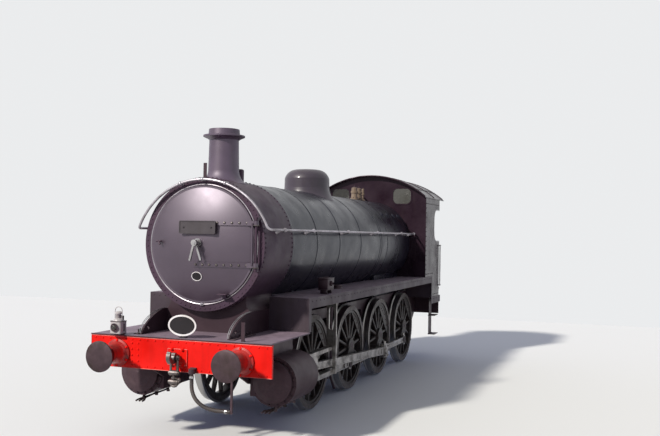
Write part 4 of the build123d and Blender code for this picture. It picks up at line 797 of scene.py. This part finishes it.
SAND_X, SAND_ROW = 0.86, 3.47
SAND_LID = ((0, 0.075), (0.03, 0.07), (0.034, 0.085), (0.05, 0.085), (0.06, 0.06), (0.064, 0))
for side in (-1, 1):
    turned(at(side * SAND_X, SAND_ROW, PLATE_TOP), Z, SAND_LID, 28)
    block(at(side * SAND_X, SAND_ROW + 0.09, PLATE_TOP + 0.035), (0.03, 0.03, 0.05))
box = at(1.08, 2.35, PLATE_TOP)
block(box + Z * 0.06, (0.14, 0.3, 0.012))
block(box + Z * 0.14, (0.15, 0.28, 0.15), bevel=0.012)
block(box + Z * 0.222, (0.16, 0.29, 0.014), bevel=0.005)
for leg in (-0.1, 0.1):
    block(box + Y * leg + Z * 0.03, (0.1, 0.03, 0.06))
for i in range(4):
    nut(box + Y * (-0.09 + 0.06 * i) + Z * 0.229, Z, 0.013)
turned(box + X * 0.07 + Z * 0.15, X, ((0, 0.04), (0.03, 0.04), (0.035, 0.02), (0.05, 0.018)))
piece("plate_fittings", frame_paint)


# Safety valves and whistle: flange nuts, caps and the whistle's steam pipe

VALVE_CAP = ((0, 0.03), (0.012, 0.03), (0.016, 0.014), (0.034, 0.014), (0.038, 0))
for row in (6.85, 7.12):
    base = at(0, row, BOILER_Z + BOILER_R)
    nut_ring(8, base + Z * 0.036, 0.077, Z, 0.01, v=Y)
    turned(base + Z * 0.25, Z, VALVE_CAP)
whistle = at(0, 7.42, BOILER_Z + BOILER_R)
turned(whistle + Z * 0.26, Z, ((0, 0.012), (0.004, 0.016), (0.016, 0.016), (0.02, 0)), 20)
pipe([whistle + Z * 0.07, whistle + Z * 0.07 + Y * 0.12, whistle + Z * 0.02 + Y * 0.3], 0.012, bend=0.04)
piece("valve_detail", frame_paint, sharp=45)


# Headlamp: seams, lens, hinge and catch over the lamp of the model

lamp_low, lamp_high = span("headlamp")
LAMP_X = (lamp_low.x + lamp_high.x) / 2
LAMP_FRONT = -0.096
LAMP_FOOT = PLATFORM_TOP + 0.012
LENS_Z = LAMP_FOOT + 0.088
LENS_RING = ((-0.002, 0.052), (0.006, 0.052), (0.006, 0.038), (-0.002, 0.037))
LENS = ((-0.004, 0), (-0.004, 0.037), (0.004, 0.036), (0.01, 0.026), (0.014, 0.014), (0.015, 0))
lamp = at(LAMP_X, LAMP_FRONT + 0.075, LAMP_FOOT)
outer, inner = rounded_box(0.171, 0.156, 0.033), rounded_box(0.16, 0.145, 0.027)
for lift in (0, 0.157):
    frame_ring(outer, inner, lamp + Z * lift, X, Y, 0.009)
turned(at(LAMP_X, LAMP_FRONT - 0.018, LENS_Z), -Y, LENS_RING, 32, closed=True)
for i in range(3):
    vent = lamp + Z * (0.201 + 0.014 * i)
    turned(vent, Z, ((0, 0.03), (0.002, 0.036), (0.006, 0.036), (0.008, 0.03)))
block(lamp + X * 0.084 + Z * 0.085, (0.008, 0.02, 0.09))
for lift in (0.045, 0.125):
    cylinder(lamp - X * 0.086 + Z * lift, Z, 0.007, 0.02, 12)
piece("headlamp_trim", frame_paint)
turned(at(LAMP_X, LAMP_FRONT - 0.024, LENS_Z), -Y, LENS, 32)
piece("headlamp_lens", clear_glass, sharp=60)


# Coupling: the screw's thread and collar, and washers and split pins on its pins

HOOK_ROW = -0.08
PIN_HEIGHTS = (1.052, 0.87, 0.76)
thread = [(0.004 * i, 0.0195 + 0.004 * (i % 2)) for i in range(19)]
turned(at(0, HOOK_ROW, 0.78), Z, thread, 20)
turned(at(0, HOOK_ROW, 0.8), Z, ((0, 0.018), (0.002, 0.034), (0.022, 0.034), (0.024, 0.018)))
for z in PIN_HEIGHTS:
    for side in (-1, 1):
        washer = at(side * 0.061, HOOK_ROW, z)
        turned(washer, X * side, ((-0.002, 0.029), (0.004, 0.029), (0.004, 0.019)), 20)
        cylinder(washer + X * side * 0.008 - Z * 0.026, Z, 0.003, 0.052, 8)
piece("coupling_fittings", hook_steel)


# Brake hose, on the same route as its tube in the model

HOSE_RADIUS = 0.024
hose_route = [
    (0.225, -0.045, 0.87), (0.225, -0.045, 0.785), (0.24, -0.07, 0.7), (0.28, -0.095, 0.615),
    (0.35, -0.105, 0.54), (0.45, -0.095, 0.48), (0.56, -0.075, 0.455), (0.665, -0.06, 0.452),
    (0.77, -0.06, 0.452),
]
hose_curve = bpy.data.curves.new("hose_line", "CURVE")
hose_curve.dimensions = "3D"
hose_spline = hose_curve.splines.new("NURBS")
hose_spline.points.add(len(hose_route) - 1)
for point, place in zip(hose_spline.points, hose_route):
    point.co = (*at(*place), 1)
hose_spline.order_u = 3
hose_spline.use_endpoint_u = True
hose_spline.resolution_u = 10
hose_line = bpy.data.objects.new("hose_line", hose_curve)
hose_points = [v.co.copy() for v in bpy.data.meshes.new_from_object(hose_line).vertices]


def along_line(points, share):
    """Point and direction at a share of a line's length."""
    goal = share * sum((b - a).length for a, b in zip(points, points[1:]))
    for a, b in zip(points, points[1:]):
        step = (b - a).length
        if goal <= step:
            return a.lerp(b, goal / step), (b - a).normalized()
        goal -= step


hose_curve.bevel_depth = HOSE_RADIUS
hose_curve.bevel_resolution = 6
hose_curve.use_fill_caps = True
hose = add_object("brake_hose_rubber", hose_curve)
hose_curve.materials.append(hose_rubber)
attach(hose, "root")
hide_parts("brake_hose")
low, high = HOSE_RADIUS - 0.002, HOSE_RADIUS + 0.005
for share in (0.055, 0.93):
    spot, forward = along_line(hose_points, share)
    turned(spot - forward * 0.014, forward, ((0, low), (0, high), (0.028, high), (0.028, low)), closed=True)
    block(spot - Y * (HOSE_RADIUS + 0.01), (0.02, 0.02, 0.02))
clips = piece("hose_clips", bright_steel)


# Cylinders: cover nuts, valve spindle covers, drain cocks with their pipes

VALVE_X, VALVE_Z = 0.775, 1.045
COVER_NUTS = ((0.72, 0.295, -Y), (1.5, 0.29, Y))
FRONT_COVER = ((0, 0.125), (0.03, 0.125), (0.036, 0.118), (0.04, 0.085), (0.075, 0.05), (0.085, 0))
REAR_COVER = ((0, 0.125), (0.03, 0.125), (0.036, 0.05), (0.13, 0.045), (0.13, 0))
COCK_ROW, COCK_STEP = 1.11, 0.31
COCK = ((-0.01, 0.03), (0.02, 0.03), (0.024, 0.016), (0.05, 0.016), (0.052, 0.024), (0.075, 0.024), (0.08, 0))
for side in (-1, 1):
    middle = at(side * CYLINDER_X, 0, AXLE_Z)
    for angle in turns(16, 0.5):
        for row, radius, normal in COVER_NUTS:
            nut(middle + Y * row + spoke(angle) * radius, normal, 0.018)
    turned(middle + Y * 1.61, Y, ((0, 0.085), (0.02, 0.085), (0.03, 0.06), (0.05, 0.055)), 28)
    valve = at(side * VALVE_X, 0, VALVE_Z)
    turned(valve + Y * 0.745, -Y, FRONT_COVER, 32)
    turned(valve + Y * 1.475, Y, REAR_COVER, 32)
    nut_ring(8, valve + Y * 0.712, 0.102, -Y, 0.013)
piece("cylinder_nuts", frame_paint)

for side in (-1, 1):
    for step in (-1, 0, 1):
        row = COCK_ROW + COCK_STEP * step
        top = at(side * CYLINDER_X, row, AXLE_Z - 0.315)
        turned(top, -Z, COCK, 16)
        x = side * (CYLINDER_X - 0.05 + 0.05 * step)
        elbow = at(side * CYLINDER_X, row - 0.04, 0.345)
        pipe([top - Z * 0.02, elbow, at(x, 0.66, 0.335), at(x, 0.6, 0.325)], 0.012, bend=0.05)
piece("drain_cocks", dark_steel)


# Motion: oil cups, knuckle pins and nuts on the rods and crossheads, and what is bolted to the wheels

SIDES = ((1, "left"), (-1, "right"))
CUP_X, KNUCKLE_X, CRANK_PIN_X, WEIGHT_X, HUB_X = 0.874, 0.84, 0.912, 0.798, 0.835
OIL_CUP = ((0, 0.021), (0.004, 0.024), (0.014, 0.024), (0.02, 0.012), (0.024, 0))
BIG_END_CUP = ((0, 0.026), (0.03, 0.026), (0.034, 0.03), (0.044, 0.03), (0.05, 0))
AXLE_END = ((-0.002, 0.088), (0.003, 0.084), (0.003, 0.022), (-0.001, 0.012), (-0.001, 0))


def crank_pin(hand, row, x=0.0):
    """The place of a crank pin of one side, from that of the driven axle."""
    pin = joint_places[f"coupling_rods_{hand}_pin"]
    return Vector((x, pin.y + row - AXLES[2], pin.z))


for side, hand in SIDES:
    away = X * side
    for row in AXLES:
        turned(crank_pin(hand, row) + away * CUP_X + Z * 0.118, Z, OIL_CUP, 16)
    for row, reach in ((AXLES[1], -0.27), (AXLES[2], 0.27)):
        cylinder(crank_pin(hand, row + reach) + away * KNUCKLE_X, away, 0.045, 0.07)
    piece(f"coupling_rod_fittings_{hand}", rod_steel, f"coupling_rods_{hand}")
    gudgeon = joint_places[f"connecting_rod_{hand}_pin"]
    big_end = crank_pin(hand, AXLES[2], gudgeon.x)
    rod_line = (big_end - gudgeon).normalized()
    rod_up = X.cross(rod_line) if X.cross(rod_line).z > 0 else -X.cross(rod_line)
    for reach in (-0.1, 0.11):
        for lift in (-0.085, 0.085):
            nut(big_end + rod_line * reach + rod_up * lift + away * 0.035, away, 0.017)
    block(big_end - rod_line * 0.105 + away * 0.04, (0.012, 0.03, 0.19), v=rod_line)
    turned(big_end + away * 0.044, away, ((0, 0.066), (0.004, 0.07), (0.012, 0.06), (0.014, 0)), 32)
    turned(big_end + rod_up * 0.122, rod_up, BIG_END_CUP, 20)
    piece(f"big_end_{hand}", rod_steel, f"connecting_rod_{hand}")
    nut(gudgeon + away * 0.063, away, 0.034)
    for reach in (-0.11, 0.11):
        for lift in (-0.1265, 0.1265):
            nut(gudgeon + Y * reach + Z * lift + away * 0.058, away, 0.014)
    piece(f"crosshead_nuts_{hand}", rod_steel, f"crosshead_{hand}")
for number, row in enumerate(AXLES, start=1):
    for side, hand in SIDES:
        away = X * side
        centre = at(side * WEIGHT_X, row, AXLE_Z)
        crank = (crank_pin(hand, row, centre.x) - centre).normalized()
        if number != 3:
            pin_end = crank_pin(hand, row, side * CRANK_PIN_X) - away * 0.001
            turned(pin_end, away, ((0, 0.062), (0.004, 0.062), (0.006, 0.03)), 6, closed=True)
        for i in range(7):
            towards = spoke(radians(-42 + 14 * i), crank, X.cross(crank))
            rivet(centre - towards * 0.53, away, 0.014)
        turned(at(side * HUB_X, row, AXLE_Z), away, AXLE_END, 32)
    piece(f"wheel_fittings_{number}", dark_steel, f"wheelset_{number}")


# Brake pull rods below the axles

BRAKE_X, BRAKE_Z = 0.3, 0.35
brake_rows = [row + TREAD_R + 0.079 for row in AXLES]
for side in (-1, 1):
    x = side * BRAKE_X
    pipe([at(x, brake_rows[0] - 0.05, BRAKE_Z), at(x, brake_rows[-1] + 0.25, BRAKE_Z)], 0.018)
    for row in brake_rows:
        block(at(x, row, BRAKE_Z), (0.07, 0.14, 0.08), bevel=0.01)
piece("brake_pull_rods", frame_paint)


# Cab: window frames, beading and handrails, rivets, roof strips, floor boards and seats

WINDOW_X, WINDOW_Z = 0.69, 3.45
outer, inner = rounded_box(0.45, 0.38, 0.13), rounded_box(0.39, 0.32, 0.1)
for side in (-1, 1):
    for row in (CAB_FRONT, CAB_FRONT + 0.02):
        frame_ring(outer, inner, at(side * WINDOW_X, row, WINDOW_Z), X, Z, 0.008)
piece("window_frames", cab_paint)

CUTAWAY_FRONT, CUTAWAY_LOW, CUTAWAY_HIGH = 8.78, 2.5, 3.19
BEADING_END = CAB_SIDE_END - 0.012
RAIL_FOOT = ((0, 0.022), (0.01, 0.022), (0.014, 0.013), (0.06, 0.013), (0.062, 0))
beading = ((BEADING_END, CUTAWAY_LOW), (CUTAWAY_FRONT, CUTAWAY_LOW), (CUTAWAY_FRONT, CUTAWAY_HIGH),
           (BEADING_END, CUTAWAY_HIGH))
for side in (-1, 1):
    pipe([at(side * (CAB_HALF - 0.006), row, z) for row, z in beading], 0.013, bend=0.26, steps=10)
    foot, head = [at(side * (CAB_HALF + 0.035), CAB_SIDE_END - 0.045, z) for z in (1.5, 2.42)]
    pipe([foot, head], 0.014)
    for spot in (foot + Z * 0.02, head - Z * 0.02):
        turned(spot - X * side * 0.04, X * side, RAIL_FOOT, 14)
piece("cab_beading", bright_steel)

for side in (-1, 1):
    wall = side * CAB_HALF
    rivet_line(16, at(wall, CAB_FRONT + 0.045, 1.8), Z * 0.1, X * side)
    rivet_line(12, at(wall, CAB_FRONT + 0.1, 3.3), Y * 0.1, X * side)
    rivet_line(7, at(wall, CAB_FRONT + 0.1, 1.8), Y * 0.1, X * side)
    rivet_line(6, at(wall, FIREBOX_BACK + 0.06, 1.34), Y * 0.115, X * side)
piece("cab_rivets", cab_paint)

ROOF_R = 1.9
roof_low, roof_high = span("cab_roof")
ROOF_TOP, ROOF_FRONT, ROOF_BACK = roof_high.z, roof_low.y, roof_high.y
STRIP_HALF = roof_high.x - 0.02
HATCH_HALF, HATCH_ROW, HATCH_LENGTH = 0.28, 8.62, 0.52


def on_roof(x, back, lift):
    """A point this far above the curve of the roof."""
    away = spoke(asin(x / ROOF_R), Z, X)
    return at(0, back, ROOF_TOP - ROOF_R) + away * (ROOF_R + lift)


for row in (ROOF_FRONT + 0.03, 8.75, ROOF_BACK - 0.03):
    pipe([on_roof(STRIP_HALF * (i / 20 - 1), row, 0.001) for i in range(41)], 0.01, steps=8)
gutter = ((1.02, ROOF_FRONT + 0.05), (0.98, 8.8), (1.02, ROOF_BACK - 0.05))
for side in (-1, 1):
    pipe([on_roof(side * x, row, 0.004) for x, row in gutter], 0.012, bend=0.6, steps=8)
    block(at(side * 0.33, 8.95, ROOF_TOP - 0.026), (0.03, 0.95, 0.03))
hatch = [on_roof(HATCH_HALF * (i / 6 - 1), HATCH_ROW, 0.008) for i in range(13)]
hatch_front = [bm.verts.new(point) for point in hatch]
hatch_back = [bm.verts.new(point + Y * HATCH_LENGTH) for point in hatch]
for i in range(12):
    bm.faces.new((hatch_front[i], hatch_front[i + 1], hatch_back[i + 1], hatch_back[i]))
piece("roof_strips", cab_paint)

BOARD = 0.135
BOARDS_END = 9.38
FLOOR_TOP = span("cab_floor")[1].z
SEAT_X, SEAT_ROW = 1.04, 8.33
for i in range(17):
    board = at((i - 8) * BOARD, (FIREBOX_BACK + BOARDS_END) / 2 + 0.02, FLOOR_TOP + 0.012)
    block(board, (BOARD - 0.008, BOARDS_END - FIREBOX_BACK - 0.06, 0.024))
for side in (-1, 1):
    block(at(side * SEAT_X, SEAT_ROW, 2.02), (0.27, 0.36, 0.035), bevel=0.01)
    block(at(side * SEAT_X, SEAT_ROW, 1.98), (0.05, 0.3, 0.05))
    block(at(side * (SEAT_X + 0.13), SEAT_ROW, 1.9), (0.03, 0.36, 0.24))
piece("cab_boards", floor_boards)


# Backhead: rivets, fire hole, water gauges, dials and pipes, and the reverser beside it

FIRE_HOLE = 1.85
GAUGE_LOW, GAUGE_HIGH = 2.43, 2.81
DIAL_X, DIAL_Z = 0.19, 3.02
MANIFOLD_Z = 3.21
GAUGE_COCK = ((0, 0.03), (0.09, 0.024), (0.11, 0.03), (0.13, 0.02), (0.14, 0))
MANIFOLD_COCK = ((0, 0.02), (0.07, 0.016), (0.075, 0.034), (0.085, 0.034), (0.09, 0))
MAIN_PIPE = ((0.24, 3.17, 0.05), (0.52, 2.95, 0.06), (0.62, 2.2, 0.07), (0.66, FLOOR_TOP + 0.02, 0.07))
THIN_PIPE = ((0.19, 2.94, 0.02), (0.13, 3.1, 0.05), (0.1, 3.17, 0.03))


def backhead(x, z, off=0.0):
    """A place at the firebox's rear plate, or this far off it."""
    return at(x, FIREBOX_BACK + off, z)


for i in range(22):
    rivet(on_drum(0.8, FIREBOX_BACK, radians(-118 + 236 * i / 21))[0], Y, 0.016)
frame_ring(oval(0.6, 0.46), oval(0.5, 0.36), backhead(0, FIRE_HOLE, 0.001), -X, Z, 0.022)
for x, lift in oval(0.55, 0.41, 10):
    nut(backhead(x, FIRE_HOLE + lift, 0.022), Y, 0.012)
block(backhead(0, 1.6, 0.075), (0.62, 0.15, 0.012))
block(backhead(0, 1.52, 0.06), (0.05, 0.1, 0.16))
piece("backhead_black", frame_paint)

for x in (-0.33, 0.33):
    for z in (GAUGE_LOW, GAUGE_HIGH):
        turned(backhead(x, z), Y, GAUGE_COCK, 18)
        pipe([backhead(x, z, 0.11), backhead(x + 0.06, z - 0.02, 0.13)], 0.006)
    pipe([backhead(x, GAUGE_LOW + 0.01, 0.1), backhead(x, GAUGE_HIGH - 0.01, 0.1)], 0.01)
for x in (-DIAL_X, DIAL_X):
    frame_ring(oval(0.19, 0.19), oval(0.15, 0.15), backhead(x, DIAL_Z, 0.052), -X, Z, 0.012)
cylinder(backhead(-0.26, MANIFOLD_Z, 0.02), X, 0.045, 0.52, 20)
for x in (-0.22, -0.08, 0.08, 0.22):
    turned(backhead(x, MANIFOLD_Z, 0.04), Y, MANIFOLD_COCK, 12)
piece("backhead_brass", brass_metal)

for side in (-1, 1):
    pipe([backhead(side * x, z, off) for x, z, off in MAIN_PIPE], 0.019, bend=0.18)
    pipe([backhead(side * x, z, off) for x, z, off in THIN_PIPE], 0.007, bend=0.05, steps=8)
piece("backhead_pipes", copper_metal)

for x in (-DIAL_X, DIAL_X):
    plate(oval(0.15, 0.15), backhead(x, DIAL_Z, 0.055), -X, Z, 0.004)
piece("gauge_faces", white_enamel)
for x, needle in ((-DIAL_X, 40), (DIAL_X, -70)):
    needle_up = spoke(radians(needle))
    block(backhead(x, DIAL_Z, 0.061), (0.004, 0.003, 0.11), u=needle_up, v=Y, bevel=0)
    for i in range(11):
        angle = radians(-130 + 26 * i)
        mark = backhead(x, DIAL_Z, 0.0605) + spoke(angle, Z, X) * 0.062
        block(mark, (0.003, 0.002, 0.014), u=spoke(-angle), v=Y, bevel=0)
piece("gauge_marks", plate_black)

REVERSER_X, REVERSER_R = -0.86, 0.19
middle = at(REVERSER_X, 9.02, 2.3)
rim = [middle + spoke(angle) * REVERSER_R for angle in turns(32)]
block(at(REVERSER_X, 8.8, 1.95), (0.1, 0.36, 0.95), bevel=0.01)
pipe(rim + rim[:1], 0.014, steps=8)
for angle in turns(5):
    pipe([middle, middle + spoke(angle) * REVERSER_R], 0.01, steps=8)
hub = ((0, 0.03), (0.06, 0.03), (0.1, 0.035), (0.12, 0.02), (0.125, 0))
turned(middle - Y * 0.08, Y, hub, 16)
piece("reverser", hook_steel)


# Rear: rivets on the drag beam

REAR = span("drag_beam")[1].y
for i in range(19):
    for z in (0.905, 1.235):
        rivet(at(-1.08 + 0.12 * i, REAR, z), Y)
piece("drag_beam_rivets", frame_paint)


# Camera where the photograph was taken from, in pixels of a 660 by 436 picture

IMAGE_WIDTH, FOCAL_PIXELS = 660, 820
SENSOR = 36
YAW, PITCH, ROLL = radians(20.04), radians(1.21), radians(0.893)
camera_data = bpy.data.cameras.new("camera")
camera_data.sensor_width = SENSOR
camera_data.lens = FOCAL_PIXELS / IMAGE_WIDTH * SENSOR
camera_data.clip_end = 400
camera = add_object("camera", camera_data)
bpy.context.scene.camera = camera
forward = Vector((-sin(YAW) * cos(PITCH), cos(YAW) * cos(PITCH), sin(PITCH)))
level = forward.cross(Z).normalized()
rise = level.cross(forward)
right = level * cos(ROLL) + rise * sin(ROLL)
upward = rise * cos(ROLL) - level * sin(ROLL)
facing = Matrix((right, upward, -forward)).transposed().to_4x4()
camera.matrix_world = Matrix.Translation(at(5.245, -8.95, 2.592)) @ facing


# Pale floor, which lights the engine as darker ground does

FLOOR_REACH, FLOOR_BACK = 40, 13
corners = [(-FLOOR_REACH, -FLOOR_REACH, 0), (FLOOR_REACH, -FLOOR_REACH, 0), (FLOOR_REACH, FLOOR_BACK, 0),
           (-FLOOR_REACH, FLOOR_BACK, 0)]
floor_mesh = bpy.data.meshes.new("floor")
floor_mesh.from_pydata(corners, [], [(0, 1, 2, 3)])
floor = add_object("floor", floor_mesh)
floor_paint, shader = new_material("floor_paint")
fill(shader, {
    "Base Color": mix(shows_background(), (0.32, 0.25, 0.28), (0.835, 0.845, 0.815)),
    "Roughness": 0.85,
    "Specular IOR Level": 0.1,
})
floor_mesh.materials.append(floor_paint)
floor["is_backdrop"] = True


# Even pale background, and a cool sky that lights the engine from above

world = bpy.data.worlds.new("studio")
bpy.context.scene.world = world
world.use_nodes = True
tree = world.node_tree
tree.nodes.clear()
heading = axes(node("TexCoord").outputs["Generated"])
ramp = node("ValToRGB", {0: spread(heading[2], -1, 1)})
stops = ramp.color_ramp.elements
stops[0].color = (0.13, 0.05, 0.09, 1)
stops[1].color = (0.8, 0.78, 0.77, 1)
for position, colour in ((0.552, (0.2, 0.1, 0.16)), (0.572, (0.95, 1.16, 2.1)), (0.62, (1.2, 1.46, 2.7)),
                         (0.7, (0.85, 0.95, 1.4)), (0.8, (0.74, 0.76, 0.84))):
    stops.new(position).color = (*colour, 1)
# The sky is weaker on the right and in front, so that front faces keep deep shadows
from_left = spread(heading[0], -1, 1, 0.84, 0.26)
from_behind = spread(heading[1], -0.7, 0.3, 0.45, 1.0)
strength = maths("MULTIPLY", from_left, from_behind)
lit = node("Background", {"Color": ramp.outputs[0], "Strength": strength})
seen = node("Background", {"Color": (0.83, 0.84, 0.85)})
choice = node("MixShader", {0: shows_background(), 1: lit.outputs[0], 2: seen.outputs[0]})
node("OutputWorld", {0: choice.outputs[0]})


# The key stands for a sun high on the left of the picture and in front of the engine

middle = at(0, 3, 2)
key_data = bpy.data.lights.new("key", "SUN")
key_data.energy = 3.75
key_data.color = (1.0, 0.95, 0.88)
key_data.angle = radians(4)
key = add_object("key", key_data)
key.location = middle + Vector((-10.5, -20, 15.5))
key.rotation_mode = "QUATERNION"
key.rotation_quaternion = (middle - key.location).to_track_quat("-Z", "Y")

bpy.context.scene.view_settings.view_transform = "Standard"

bpy.context.view_layer.update()
low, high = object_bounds()
